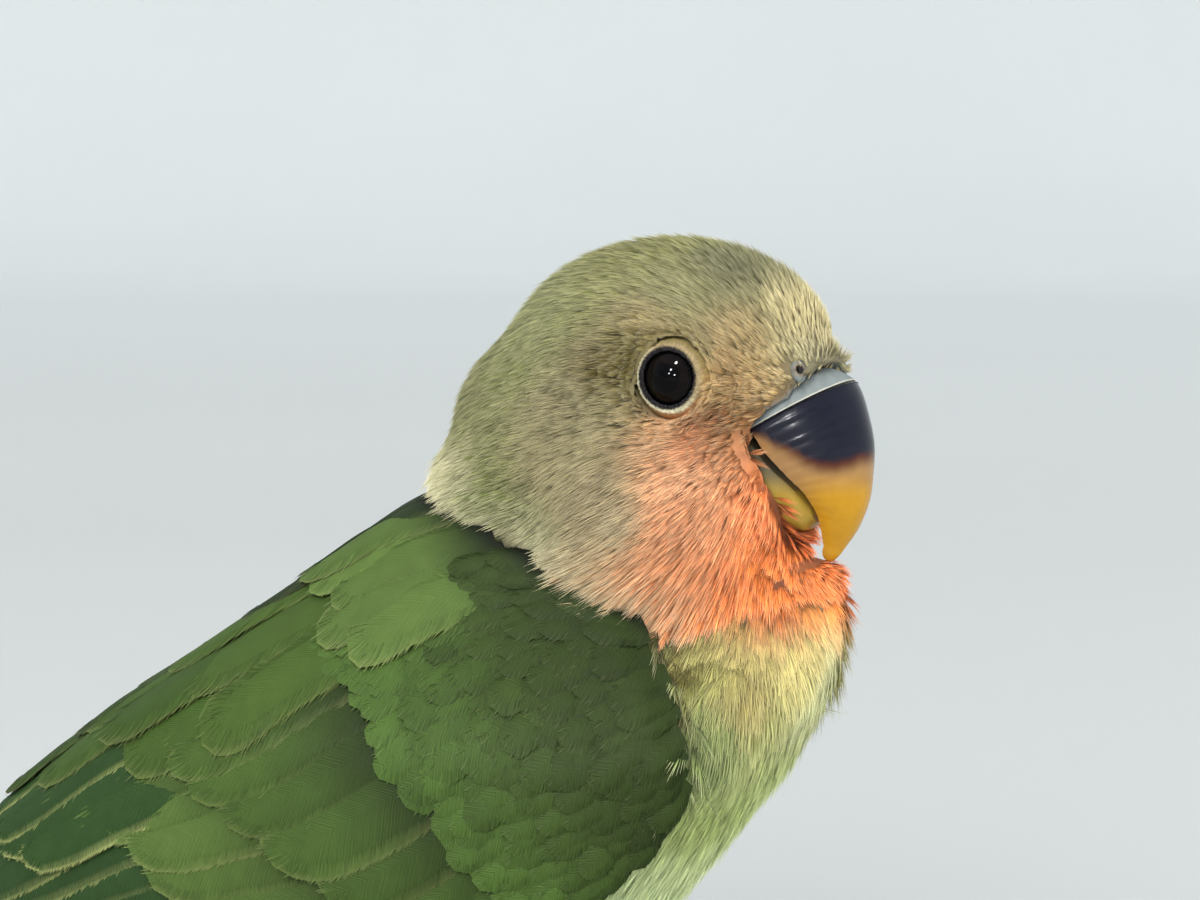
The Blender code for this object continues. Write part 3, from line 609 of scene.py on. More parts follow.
def barb_lines(local):
    """Which barb of its feather each point lies on, counted from the root."""
    return (local[..., 0] - BARB_SLOPE * np.abs(local[..., 1])) / BARB_PITCH


# How dark the hidden roots of the feathers are made: their darker down, and painted shade between the
# feathers.
ROOT_SHADE = 0.14
CREAM = linear(238, 228, 190)
LIGHTEST_TIP = 0.9


def shaded(rng, vane, base, out, along, down_and_shade=1.0, pale=1.0):
    """The tint of each barb point: dark at the root, its darker down and painted shade, then its colour,
    paler at the tip.
    """
    shape = out.shape[:2]
    level = 1 + vane.vary * rng.normal(0, 1, shape)[..., None]
    level = level * (1 + 0.6 * vane.vary * rng.normal(0, 1, (shape[0], 1, 1)))
    # Painted shade on the edge of each blade that lies under its neighbour, which draws lines between the
    # barbs.
    level = level * (1 - vane.barb_shade * BLADE_SIDE)
    colour = base[:, None, None, :] * level[..., None]
    paler = vane.tip_light * ramp(along, (0.3, 1.0)) * ramp(out, (0.5, 1.0))
    paler = np.minimum(paler * np.broadcast_to(pale, shape[0])[:, None, None], LIGHTEST_TIP)
    colour = mix(colour, CREAM, paler[..., None])
    hidden = (1 - ramp(out, vane.dark_to)) * np.broadcast_to(down_and_shade, out.shape[0])[:, None, None]
    return colour * (1 - (1 - ROOT_SHADE) * hidden[..., None])


def barb_faces(count):
    """The faces of so many barbs, one after another."""
    return (np.arange(count)[:, None, None] * BARB_POINTS + BARB_FACES).reshape(-1, 3)


LARGEST_PIECE = 190000
BAKE_WIDTH = 2.2


def coat_piece(name, points, tint, bake, material, stands_for=()):
    """One or more pieces of coat from barbs (n, 5, 3), each piece under the size limit."""
    barbs = points.reshape(-1, BARB_POINTS, 3)
    tint = tint.reshape(-1, BARB_POINTS, 3)
    bake = bake.reshape(-1, BARB_POINTS, 2)
    pieces = math.ceil(len(barbs) * len(BARB_FACES) / LARGEST_PIECE)
    for k, part in enumerate(np.array_split(np.arange(len(barbs)), pieces)):
        label = name if pieces == 1 else f"{name}_{k + 1}"
        mesh = mesh_from_arrays(label, to_frame(barbs[part].reshape(-1, 3)), barb_faces(len(part)))
        set_tint(mesh, tint[part].reshape(-1, 3))
        set_bake_map(mesh, bake[part].reshape(-1, 2))
        piece(label, mesh, material, stands_for if k == 0 else ())


def sheet_piece(name, sheets, material):
    """One piece of the closed vanes of many feathers, each a grid of points."""
    points, tints, places, lines, faces = [], [], [], [], []
    first = 0
    for placed, tint, bake, line in sheets:
        index = first + np.arange(line.size).reshape(line.shape)
        first += line.size
        faces += [grid_faces(grid) for grid in index]
        points.append(placed.reshape(-1, 3))
        tints.append(tint.reshape(-1, 3))
        places.append(bake.reshape(-1, 2))
        lines.append(line.ravel())
    mesh = mesh_from_arrays(name, to_frame(np.concatenate(points)), np.concatenate(faces))
    set_tint(mesh, np.concatenate(tints))
    set_bake_map(mesh, np.concatenate(places))
    set_number(mesh, "barb", np.concatenate(lines))
    mesh.shade_smooth()
    piece(name, mesh, material)


def bake_places(root, local, length, half_width):
    """A small patch for each feather, at its root's place on the unwrapped skin."""
    across = np.clip(local[..., 1] / (BAKE_WIDTH * half_width[:, None, None]), -0.5, 0.5)
    along = np.clip(local[..., 0] / length[:, None, None] - 0.5, -0.5, 0.5)
    patch = TUFT_PATCH * np.stack([across, along], axis=-1)
    return root[:, None, None, :] + patch


# The skin: one surface over head, neck, breast, belly, rump and thighs.

FLESH = ("head", "neck", "breast", "torso", "rump", "thigh_right", "thigh_left")
SKIN_CLOSE = 0.45
SKIN_VOXEL = 0.75
FACE_DEPTH = 1.2
SKIN_DEPTH_FACE = 1.15
BODY_DEPTH = 2.0
ORBIT_FROM = 3.26
ORBIT_TO = 6.2
ORBIT_BLEND = (5.5, 8.5)
RIM_HEIGHT = 2.32
SIDE_FROM = 5
FAR = 99
SOCKET_DEPTH = 2.5
CERE_COLOUR = linear(112, 119, 119)
# Painted shade of the skin under the coat, less of it close to the eye.
SKIN_SHADE = 0.22
SKIN_SHADE_BY_EYE = 0.6
SKIN_SMOOTHED = 8
SKIN_AT_HORN = 0.35
HORN_REACH = (0.3, 4.0)
GAPE_SINK = 0.5
GAPE_SINK_F = (4.5, 6.0)
GAPE_SHADE_F = (3.5, 5.0)
SKIN_GRAIN = {"grain": (900, 3.0), "spread": (0.7, 1.3), "relief": (3000, 3.0, 0.5, 0.1)}


def tree_of(names):
    """A tree for nearest distances to some of the frame's nodes, in side coordinates."""
    points = []
    faces = []
    for name in names:
        mesh = frame["nodes"][name].data
        first = len(points)
        points += [tuple(p) for p in to_side([v.co[:] for v in mesh.vertices])]
        faces += [tuple(first + i for i in face.vertices) for face in mesh.polygons]
    return BVHTree.FromPolygons(points, faces)


def distances(tree, points):
    """How far each point lies from the nearest face of a tree."""
    return np.array([tree.find_nearest(Vector(p))[3] for p in points])


def flesh_mesh():
    """All flesh nodes, each grown a little so that they close up, joined in one mesh."""
    joined = bmesh.new()
    for name in FLESH:
        part = bmesh.new()
        part.from_mesh(frame["nodes"][name].data)
        bmesh.ops.remove_doubles(part, verts=part.verts, dist=1e-6)
        part.normal_update()
        for vert in part.verts:
            vert.co += vert.normal * SKIN_CLOSE * MM
        scratch = bpy.data.meshes.new("scratch")
        part.to_mesh(scratch)
        part.free()
        joined.from_mesh(scratch)
        bpy.data.meshes.remove(scratch)
    mesh = bpy.data.meshes.new("flesh")
    joined.to_mesh(mesh)
    joined.free()
    return mesh


def flesh_shell():
    """The joined flesh as one closed mesh, smoothed a little."""
    shell = link(bpy.data.objects.new("shell", flesh_mesh()))
    remesh = shell.modifiers.new("Remesh", "REMESH")
    remesh.mode = "VOXEL"
    remesh.voxel_size = SKIN_VOXEL * MM
    ease = shell.modifiers.new("Smooth", "SMOOTH")
    ease.factor = 0.5
    ease.iterations = SKIN_SMOOTHED
    graph = bpy.context.evaluated_depsgraph_get()
    mesh = bpy.data.meshes.new_from_object(shell.evaluated_get(graph))
    bpy.data.objects.remove(shell)
    mesh.name = "skin"
    return mesh


def beside_gape(head, front):
    """1 on the skin beside the corner of the bill, ahead of the given limits."""
    below = -head[:, 2]
    return ramp(head[:, 0], front) * ramp(below, (3.5, 5.0)) * (1 - ramp(below, (10, 12)))


def make_skin(hard_parts):
    """The skin, below the coat by its depth: thin at the horn, thinner on the face."""
    mesh = flesh_shell()
    refine_round_eyes(mesh)
    points = side_points(mesh)
    sunk = GAPE_SINK * beside_gape(to_head(points), GAPE_SINK_F)
    from_horn = np.maximum(ramp(distances(hard_parts, points), HORN_REACH), sunk)
    face = 1 - ramp(head_share(points), (1.0, 1.08))
    depth = SKIN_CLOSE + FACE_DEPTH * face + BODY_DEPTH * (1 - face)
    depth = depth * (SKIN_AT_HORN + (1 - SKIN_AT_HORN) * from_horn)
    points = settled_round_eyes(points - vertex_normals(mesh) * depth[:, None])
    mesh.vertices.foreach_set("co", to_frame(points).astype(np.float32).ravel())
    mesh.update()
    set_tint(mesh, skin_colour(points, hard_parts))
    mesh.shade_smooth()
    piece("skin", mesh, grained("skin", 0.9, **SKIN_GRAIN), FLESH)
    return mesh


def refine_round_eyes(mesh):
    """Smaller faces of the skin close to the eyes, for a clean edge at the lids."""
    shape = bmesh.new()
    shape.from_mesh(mesh)
    shape.verts.ensure_lookup_table()
    points = to_side(np.array([v.co[:] for v in shape.verts]))
    near = eye_distance(to_head(points)) < ORBIT_TO
    edges = [e for e in shape.edges if near[e.verts[0].index] and near[e.verts[1].index]]
    bmesh.ops.subdivide_edges(shape, edges=edges, cuts=3, use_grid_fill=True)
    shape.to_mesh(mesh)
    shape.free()


def skin_colour(points, hard_parts):
    """The coat's colour with painted shade under the coat, close to the coat's own colour by the eye, and
    bare by the cere.
    """
    head = to_head(points)
    by_cere = (1 - ramp(distances(hard_parts, points), (0.4, 0.9))) * ramp(points[:, 2], (3.5, 5.0))
    by_cere = (by_cere * ramp(head[:, 0], (6, 7)))[:, None]
    by_eye = 1 - ramp(eye_distance(head), (4.0, 5.5))
    lighter = np.maximum(by_eye, beside_gape(head, GAPE_SHADE_F))
    shade = SKIN_SHADE + (SKIN_SHADE_BY_EYE - SKIN_SHADE) * lighter
    return mix(coat_colour(points) * shade[:, None], CERE_COLOUR, by_cere)


def eye_distance(head):
    """Distance from the axis of the eye on the same side, for points on the sides."""
    apart = np.hypot(head[:, 0] - EYE_AT[0], head[:, 2] - EYE_AT[2])
    return np.where(np.abs(head[:, 1]) > SIDE_FROM, apart, FAR)


def head_surface_at(f, h):
    """How far from the middle plane the head's outside lies, at f and h."""
    l = np.full(np.shape(f), 13.0)
    for _ in range(12):
        away = np.stack([f, l, h], axis=-1) - HEAD_MIDDLE
        share = np.linalg.norm(away, axis=-1) / head_reach(unit(away))
        l = l + (1 - share) * 12
    return l


def settled_round_eyes(points):
    """Skin points, with those near an eye laid in a shallow bowl from its rim outwards."""
    head = to_head(points)
    out = eye_distance(head)
    near = np.flatnonzero(out < ORBIT_BLEND[1])
    head, out = head[near], out[near]
    rim = EYE_AT[1] + RIM_HEIGHT
    flank = head_surface_at(head[:, 0], head[:, 2]) - SKIN_DEPTH_FACE
    climb = ramp(out, (ORBIT_FROM, ORBIT_TO)) ** 0.8
    socket = 1 - ramp(out, (ORBIT_FROM - 1, ORBIT_FROM - 0.1))
    level = rim + (flank - rim) * climb - SOCKET_DEPTH * socket
    share = 1 - ramp(out, ORBIT_BLEND)
    level = np.abs(head[:, 1]) * (1 - share) + level * share
    head[:, 1] = np.sign(head[:, 1]) * level
    points = points.copy()
    points[near] = from_head(head)
    return points


def coat_colour(points):
    """The colour of the coat at points in side coordinates."""
    head = (1 - ramp(head_share(points), (1.0, 1.1)))[..., None]
    return head * markings(to_head(points), HEAD_MARKS) + (1 - head) * markings(points, TRUNK_MARKS)


def candidates(mesh, count, rng):
    """Random points spread evenly over the skin, with the normal at each."""
    mesh.calc_loop_triangles()
    corners = np.zeros(len(mesh.loop_triangles) * 3, np.int32)
    mesh.loop_triangles.foreach_get("vertices", corners)
    corners = corners.reshape(-1, 3)
    points = side_points(mesh)
    normals = vertex_normals(mesh)
    a, b, c = (points[corners[:, k]] for k in range(3))
    area = np.linalg.norm(np.cross(b - a, c - a), axis=1)
    chosen = rng.choice(len(area), count, p=area / area.sum())
    share = rng.random((count, 2))
    share = np.where(share.sum(1, keepdims=True) > 1, 1 - share, share)
    weight = np.stack([1 - share.sum(1), share[:, 0], share[:, 1]], axis=1)
    place = sum(points[corners[chosen, k]] * weight[:, k : k + 1] for k in range(3))
    normal = unit(sum(normals[corners[chosen, k]] * weight[:, k : k + 1] for k in range(3)))
    return place, normal


# Makes one whole number of a cell's three, a different one for each cell of the bird.
CELL_KEY = np.array((4000003, 2003, 1))


def thinned(points, spacing):
    """One point of each little cell, so that the rest lie about one spacing apart."""
    cell = np.floor(points / spacing).astype(np.int64)
    return np.sort(np.unique(cell @ CELL_KEY, return_index=True)[1])


# The lie of the coat

TAILWARD = np.array((-math.cos(BACK_SLOPE), 0.0, -math.sin(BACK_SLOPE)))
CREST_SOURCE = np.array((15.0, 0.0, -4.0))
GAPE_SOURCE = np.array((6.6, 0.0, -5.0))
CHIN_SOURCE = np.array((16.0, 0.0, -5.0))
THIGH_WAY = unit(np.array((-9.0, 0.0, -16.0)))
PART_FROM = 3.3
PART_REACH = 1.6
PART_LEAST = 0.35
PART_FLATTEST = 0.15
PART_ROUND = 0.8
UPPER_HEAD_H = (-9, -2)
HEAD_PULL = 0.75


def lie(points, normals):
    """The way in which the coat lies on the skin, as a unit vector along the surface.

    It runs away from the bill on the head and from the chin on the trunk, and turns tailward.
    """
    head = to_head(points)
    upper = ramp(head[..., 2], UPPER_HEAD_H)[..., None]
    from_bill = points - from_head(GAPE_SOURCE + upper * (CREST_SOURCE - GAPE_SOURCE))
    from_chin = points - CHIN_SOURCE
    bill_apart = np.linalg.norm(from_bill, axis=-1)
    chin_apart = np.linalg.norm(from_chin, axis=-1)
    head_pull = (1 - HEAD_PULL * ramp(bill_apart, (14, 36)))[..., None]
    trunk_pull = (1 - ramp(chin_apart, (18, 46)))[..., None]
    on_the_head = unit(from_bill) * head_pull + TAILWARD * (1 - head_pull)
    on_the_trunk = unit(from_chin) * trunk_pull + TAILWARD * (1 - trunk_pull)
    on_head = (1 - ramp(head_share(points), (1.0, 1.12)))[..., None]
    way = unit(on_the_head) * on_head + unit(on_the_trunk) * (1 - on_head)
    way = parted(mix(way, THIGH_WAY, thigh_share(points)[..., None]), head)
    return unit(way - normals * (way * normals).sum(-1, keepdims=True))


def parted(way, head):
    """The lie, made to part round the eye and to run outwards close beside it."""
    level = 0 * head[..., 0]
    gap = np.stack([head[..., 0] - EYE_AT[0], level, head[..., 2] - EYE_AT[2]], axis=-1)
    out = unit(gap)
    past_rim = np.maximum(np.linalg.norm(gap, axis=-1) - PART_FROM, 0)
    near = np.exp(-past_rim / PART_REACH) * (np.abs(head[..., 1]) > SIDE_FROM)
    inward = np.minimum((way * out).sum(-1), PART_FLATTEST)
    round_eye = np.stack([-np.abs(out[..., 2]), level, np.sign(out[..., 2]) * out[..., 0]], axis=-1)
    ahead = np.clip(out[..., 0], 0, 1) * near
    way = way + (near * (PART_LEAST - inward))[..., None] * out
    return unit(way + PART_ROUND * ahead[..., None] * round_eye)


def thigh_share(points):
    """1 on the feathered thighs and 0 on the belly."""
    return ramp(-points[..., 2], (54, 58)) * ramp(-points[..., 2] + 1.2 * points[..., 0], (38, 46))


RISE_VARY = 0.12
ACROSS_BEND = 0.6


def plant(rng, vane, points, normals, length, half_width, rise, bend, turn=0.1):
    """Feathers over the skin: their barbs in side coordinates, with the local points."""
    way = lie(points, normals)
    aside = np.cross(normals, way)
    swing = rng.normal(0, turn, len(points))[:, None]
    way = unit(way + aside * swing)
    aside = np.cross(normals, way)
    local, out, along = fan(rng, vane, length, half_width)
    s = local[..., 0]
    c = local[..., 1]
    low, high = (np.broadcast_to(r, length.shape)[:, None, None] for r in rise)
    uneven = rng.normal(0, RISE_VARY, len(points))[:, None, None] * high
    lift = low + (high - low) * out + uneven * out + local[..., 2]
    curve = np.broadcast_to(bend, length.shape)[:, None, None]
    lift = lift - curve * s * s / 2 - ACROSS_BEND * curve * c * c / 2
    placed = (
        points[:, None, None, :]
        + s[..., None] * way[:, None, None, :]
        + c[..., None] * aside[:, None, None, :]
        + lift[..., None] * normals[:, None, None, :]
    )
    return placed, local, out, along


UNWRAP_EDGE = 0.01


def unwrapped(share_round, share_along):
    """A place on the bake map, a little inside its edges."""
    places = np.stack([share_round, share_along], axis=-1)
    return UNWRAP_EDGE + (1 - 2 * UNWRAP_EDGE) * places


def head_unwrap(points):
    """Points of the head round its length and along it, as shares from 0 to 1."""
    away = unit(to_head(points) - HEAD_MIDDLE)
    round_f = np.arctan2(away[..., 1], away[..., 2]) / (2 * math.pi) + 0.5
    from_front = np.arccos(np.clip(away[..., 0], -1, 1)) / math.pi
    return unwrapped(round_f, from_front)


TRUNK_AXIS_N = -24.0
TRUNK_SPAN = (-45.0, 95.0)


def trunk_unwrap(points):
    """Points of the trunk round its length and along it, as shares from 0 to 1."""
    t, n = to_back(points)
    round_t = np.arctan2(points[..., 1], TRUNK_AXIS_N - n) / (2 * math.pi) + 0.5
    along = (t - TRUNK_SPAN[0]) / (TRUNK_SPAN[1] - TRUNK_SPAN[0])
    return unwrapped(round_t, np.clip(along, 0, 1))


HEAD_VANE = Vane(
    5, 0.05, (0.10, 0.42), (0.62, 1.04), 0.15, 0.25, OUTLINE_BODY, (0.2, 0.72), 0.2, 0.3, 0.2)
BREAST_VANE = Vane(
    7, 0.052, (0.08, 0.50), (0.58, 1.04), 0.15, 0.25, OUTLINE_BODY, (0.15, 0.6), 0.18, 0.22, 0.16)
BELLY_VANE = Vane(
    8, 0.065, (0.06, 0.50), (0.50, 1.04), 0.2, 0.25, OUTLINE_BODY, (0.15, 0.6), 0.18, 0.2, 0.14)
BACK_VANE = Vane(
    22, 0.13, (0.0, 0.72), (0.28, 1.0), 0.06, 0.14, OUTLINE_FLIGHT, (0.0, 0.4), 0.14, 0.04, 0.06)


class Region(NamedTuple):
    """A region of the trunk's coat: how close its feathers stand, and how they are built."""

    name: str
    slot: str
    material: str
    spacing: float
    vane: Vane
    lengths: tuple
    width: float
    bend: float
    turn: float


BREAST = Region("coat_breast", "breast_feathers", "soft", 0.74, BREAST_VANE, (6.0, 8.0), 0.14, 1 / 40, 0.07)
BELLY = Region("coat_belly", "body_feathers", "soft", 1.05, BELLY_VANE, (7.0, 9.0), 0.2, 1 / 30, 0.1)
BACK = Region("coat_back", "rump_feathers", "firm", 1.3, BACK_VANE, (7.0, 9.0), 0.30, 1 / 60, 0.08)
HEAD_SPACING = 0.45
FACE_SPACING = 0.38
ORBIT_SPACING = 0.34
FACE_MIDDLE = np.array((8.0, 0, -3))
FACE_REACH = 10
TRIALS = 320000
NECK_Z = -12
NECK_T = -4
TRUNK_T = 2
BACK_N = -16
BURIED_SHARE = 0.80
BREAST_SHARE = 0.88


def beside_horn(points):
    """How far feathers keep from bill and cere: most at the cere and round the nostril."""
    front = to_head(points)[:, 0]
    z = points[:, 2]
    bare = 0.2 * ramp(front, (4, 5)) + 0.4 * ramp(z, (3.5, 5.5)) * ramp(front, (6, 7))
    return bare + 0.2 * ramp(front, (5, 6.5)) * ramp(z, (-2, 0)) * (1 - ramp(z, (3.5, 5)))


def body_coat(mesh, hard_parts):
    """Small feathers over the whole skin, in regions of their own length and looseness."""
    rng = np.random.default_rng(11)
    points, normals = candidates(mesh, TRIALS, rng)
    share = head_share(points)
    t, n = to_back(points)
    head = to_head(points)
    neck = (points[:, 2] > NECK_Z) & (t < NECK_T)
    on_head = (share < 1.0) | neck
    free = (share >= BURIED_SHARE) & ~wing_cover(points)
    face = np.linalg.norm(head * (1, 0.6, 1) - FACE_MIDDLE, axis=1) < FACE_REACH
    orbit = on_head & (eye_distance(head) < ORBIT_TO + 0.5)

    def chosen(mask, spacing):
        index = np.flatnonzero(mask & free)
        index = index[thinned(points[index], spacing)]
        return index[distances(hard_parts, points[index]) >= beside_horn(points[index])]

    groups = (
        (orbit, ORBIT_SPACING),
        (on_head & face & ~orbit, FACE_SPACING),
        (on_head & ~face & ~orbit, HEAD_SPACING),
    )
    index = np.concatenate([chosen(mask, spacing) for mask, spacing in groups])
    head_coat(rng, points[index], normals[index])
    for region, build, mask in (
        (BREAST, breast_coat, ~neck & (share > BREAST_SHARE) & (t < TRUNK_T)),
        (BELLY, belly_coat, ~on_head & (t >= TRUNK_T) & (n < BACK_N)),
        (BACK, back_coat, ~on_head & (t >= TRUNK_T) & (n >= BACK_N)),
    ):
        index = chosen(mask, region.spacing)
        length = rng.uniform(*region.lengths, len(index))
        build(rng, region, points[index], normals[index], length)


class HeadZones(NamedTuple):
    """How far feathers of the head lie in its zones, from 0 to 1."""

    back: np.ndarray
    low: np.ndarray
    hem: np.ndarray
    ledge: np.ndarray
    from_eye: np.ndarray
    from_bill: np.ndarray


BILL_BASE = np.array((10.0, 0, -4))


def head_zones(head):
    """The back and lower head, the ruff's hem, the chin's ledge, and off the eye and bill."""
    front = head[:, 0]
    below = -head[:, 2]
    hem = ramp(below - 0.25 * front, (14, 19)) * ramp(-front, (-5, 0))
    return HeadZones(
        back=ramp(-front, (-8, 14)),
        low=ramp(below, (9, 18)),
        hem=np.maximum(hem, ramp(-front, (15, 19)) * ramp(below, (4, 9))),
        ledge=ramp(front, (6, 9)) * ramp(below, (12, 15)),
        from_eye=ramp(eye_distance(head), (3.2, 7.0)),
        from_bill=ramp(np.linalg.norm(head - BILL_BASE, axis=1), (6, 12)),
    )


NOSTRIL_CLEAR = 0.95
ORBIT_OUTWARDS = 0.35
HEAD_WIDTH = 0.14
HEAD_TURN_VARY = 0.07
HEAD_BEND = 1 / 17
LEDGE_BEND = 1 / 16
HEAD_LOW = 0.3


def head_coat(rng, points, normals):
    """Short dense feathers: the shortest by eye and bill, the longest on the ruff's hem."""
    head = to_head(points)
    mirrored = np.stack([head[:, 0], np.abs(head[:, 1]), head[:, 2]], axis=1)
    off_nostril = np.linalg.norm(mirrored - NOSTRIL_AT, axis=1) > NOSTRIL_CLEAR
    off_eye = eye_distance(head)
    outwards = normals[:, 1] * np.sign(points[:, 1]) > ORBIT_OUTWARDS
    keep = off_nostril & (off_eye > ORBIT_FROM) & ((off_eye > ORBIT_TO) | outwards)
    points, normals, head = points[keep], normals[keep], head[keep]
    zone = head_zones(head)
    length = (2.9 + 0.8 * zone.back + 1.2 * zone.low + 1.8 * zone.hem) * rng.uniform(0.85, 1.15, len(points))
    length *= (0.36 + 0.64 * zone.from_eye) * (0.62 + 0.38 * zone.from_bill)
    half = HEAD_WIDTH * length * (1 - 0.35 * zone.hem)
    length *= 1 - 0.4 * zone.ledge
    high = 1.0 + 0.4 * zone.low + 1.2 * zone.hem
    high *= (0.22 + 0.78 * zone.from_eye) * (0.55 + 0.45 * zone.from_bill) * (1 - 0.5 * zone.ledge)
    below = -head[:, 2]
    straight = np.maximum(zone.hem, ramp(below, (11, 17)) * (1 - zone.ledge))
    bend = HEAD_BEND * (1 - 0.95 * straight) + LEDGE_BEND * zone.ledge
    rise = (-HEAD_LOW * zone.from_eye, high)
    placed, local, out, along = plant(
        rng, HEAD_VANE, points, normals, length, half, rise, bend, HEAD_TURN_VARY
    )
    down_and_shade = (0.15 + 0.85 * zone.from_eye) * (0.5 + 0.5 * zone.from_bill)
    # Painted light and shade: the head's colours darker on the crown and lighter low on the face and towards
    # the bill.
    level = 0.64 + 0.17 * ramp(below, (3, 11)) + 0.30 * ramp(below, (8, 14)) * ramp(head[:, 0], (2, 7))
    base = markings(head, HEAD_MARKS) * level[:, None]
    tint = shaded(rng, HEAD_VANE, base, out, along, down_and_shade, 1 + 2.2 * zone.hem)
    bake = bake_places(head_unwrap(points), local, length, half)
    coat_piece("coat_head", placed, tint, bake, MATERIAL["soft"])


def trunk_coat(rng, region, points, normals, length, half, rise, pale=1.0):
    """The feathers of one region of the trunk, from their sizes."""
    vane = region.vane
    placed, local, out, along = plant(
        rng, vane, points, normals, length, half, rise, region.bend, region.turn
    )
    tint = shaded(rng, vane, markings(points, TRUNK_MARKS), out, along, 1.0, pale)
    bake = bake_places(trunk_unwrap(points), local, length, half)
    coat_piece(region.name, placed, tint, bake, MATERIAL[region.material])


def breast_coat(rng, region, points, normals, length):
    """Soft long feathers, shorter on the throat, longer and paler over the wing's front."""
    throat = ramp(points[:, 2], (-20, -12))
    by_wing = beside_wing_front(points)
    length = length * (1 - 0.4 * throat)
    half = region.width * length
    high = 1.2 + 0.5 * ramp(-points[:, 2], (12, 24)) - 0.5 * throat
    rise = (-0.2 + 0.3 * by_wing, high + 0.6 * by_wing)
    length = length * (1 + 0.2 * by_wing)
    trunk_coat(rng, region, points, normals, length, half, rise, 1 + 1.6 * by_wing)


def belly_coat(rng, region, points, normals, length):
    """The loosest feathers, half as long on the thighs."""
    length = length * (1 - 0.5 * thigh_share(points))
    trunk_coat(rng, region, points, normals, length, region.width * length, (-0.3, 1.8))


def back_coat(rng, region, points, normals, length):
    """Broad firm feathers."""
    trunk_coat(rng, region, points, normals, length, region.width * length, (-0.1, 2.3))


# The folded wings, on the same egg-shaped surface as the solids.

WING_T = (-20, -12, -4, 6, 18, 30, 42, 54, 66, 78, 90)
WING_TOP = (-11, -6.0, -2.6, -1.6, -1.2, -0.6, 0.2, 0.2, -1.6, -4.2, -7.2)
WING_BOTTOM = (-45, -47, -49, -51, -52, -49, -43, -35.5, -26, -18, -13)
WING_HALF_WIDTH = (18.6, 21.2, 23, 24.2, 24.2, 22.6, 19.8, 16.2, 12.4, 9, 6.6)
WING_UPPER_TURN = (58, 36, 20, 12, 10, 10, 11, 14, 20, 28, 36)
WING_LOWER_TURN = (120, 126, 130, 131, 128, 121, 114, 107, 100, 92, 86)
WING_FRONT_SHARE = (0.0, 0.25, 0.5, 0.75, 1.0)
WING_FRONT_T = (-3.0, -7.5, -12.5, -12.8, -10.0)
WING_BASE_END_T = 60.0
WING_BASE_DEPTH = 1.6
WING_BASE_COLOUR = linear(46, 62, 34)


def section(turns, top, bottom, half_width, roundness):
    """Points (n, y) round one cross-section, for turns in degrees from the back."""
    angle = np.radians(np.asarray(turns, float))
    power = 2 / roundness
    n = np.sign(np.cos(angle)) * np.abs(np.cos(angle)) ** power
    y = np.sign(np.sin(angle)) * np.abs(np.sin(angle)) ** power
    return (top + bottom) / 2 + (top - bottom) / 2 * n, half_width * y


def wing_surface(t, turn, side):
    """A point on the trunk's outer surface, at a turn in degrees from the back."""
    top, bottom, wide = (smooth(WING_T, sizes, t) for sizes in (WING_TOP, WING_BOTTOM, WING_HALF_WIDTH))
    n, y = section(turn, top, bottom, wide, TRUNK_ROUNDNESS)
    return on_body(t, n, y * side)


def wing_point(t, share, side, lift=0.0):
    """A point on the folded wing: share 0 is its upper edge and 1 its lower edge."""
    t = np.asarray(t, float)
    upper = smooth(WING_T, WING_UPPER_TURN, t)
    lower = smooth(WING_T, WING_LOWER_TURN, t)
    turn = upper + np.asarray(share, float) * (lower - upper)
    here = wing_surface(t, turn, side)
    ahead = wing_surface(t + 0.5, turn, side) - wing_surface(t - 0.5, turn, side)
    across = wing_surface(t, turn + 1, side) - wing_surface(t, turn - 1, side)
    normal = unit(np.cross(across, ahead)) * side
    return here + normal * np.asarray(lift)[..., None]


def wing_girths():
    """How far it is round the wing from edge to edge, at each of its stations."""
    shares = np.linspace(0, 1, 17)
    found = []
    for t in WING_T:
        line = wing_point(np.full(len(shares), float(t)), shares, 1)
        found.append(np.linalg.norm(np.diff(line, axis=0), axis=1).sum())
    return found


WING_GIRTH = wing_girths()


def behind_wing_front(points):
    """Where points of the skin lie on the wing: the share, and how far behind its front."""
    t, n = to_back(points)
    top, bottom, wide = (smooth(WING_T, sizes, t) for sizes in (WING_TOP, WING_BOTTOM, WING_HALF_WIDTH))
    middle = (top + bottom) / 2
    half = (top - bottom) / 2
    turn = np.degrees(np.arctan2(np.abs(points[:, 1]) / wide, (n - middle) / half))
    upper = smooth(WING_T, WING_UPPER_TURN, t)
    lower = smooth(WING_T, WING_LOWER_TURN, t)
    share = (turn - upper) / (lower - upper)
    return share, t - smooth(WING_FRONT_SHARE, WING_FRONT_T, np.clip(share, 0, 1))


COVER_SHARES = (0.10, 0.93)
COVER_BEHIND = 4.0
COVER_END_T = 62


def wing_cover(points):
    """True for points of the skin that lie well under a folded wing."""
    share, behind = behind_wing_front(points)
    within = (share > COVER_SHARES[0]) & (share < COVER_SHARES[1])
    return within & (behind > COVER_BEHIND) & (to_back(points)[0] < COVER_END_T)


def beside_wing_front(points):
    """1 for breast feathers that lie over the front of the wing, and 0 elsewhere."""
    share, behind = behind_wing_front(points)
    within = ramp(share, (0.42, 0.55)) * (1 - ramp(share, (1.0, 1.15)))
    return within * ramp(behind, (-5.0, -2.0)) * (1 - ramp(behind, (1.0, 4.0)))


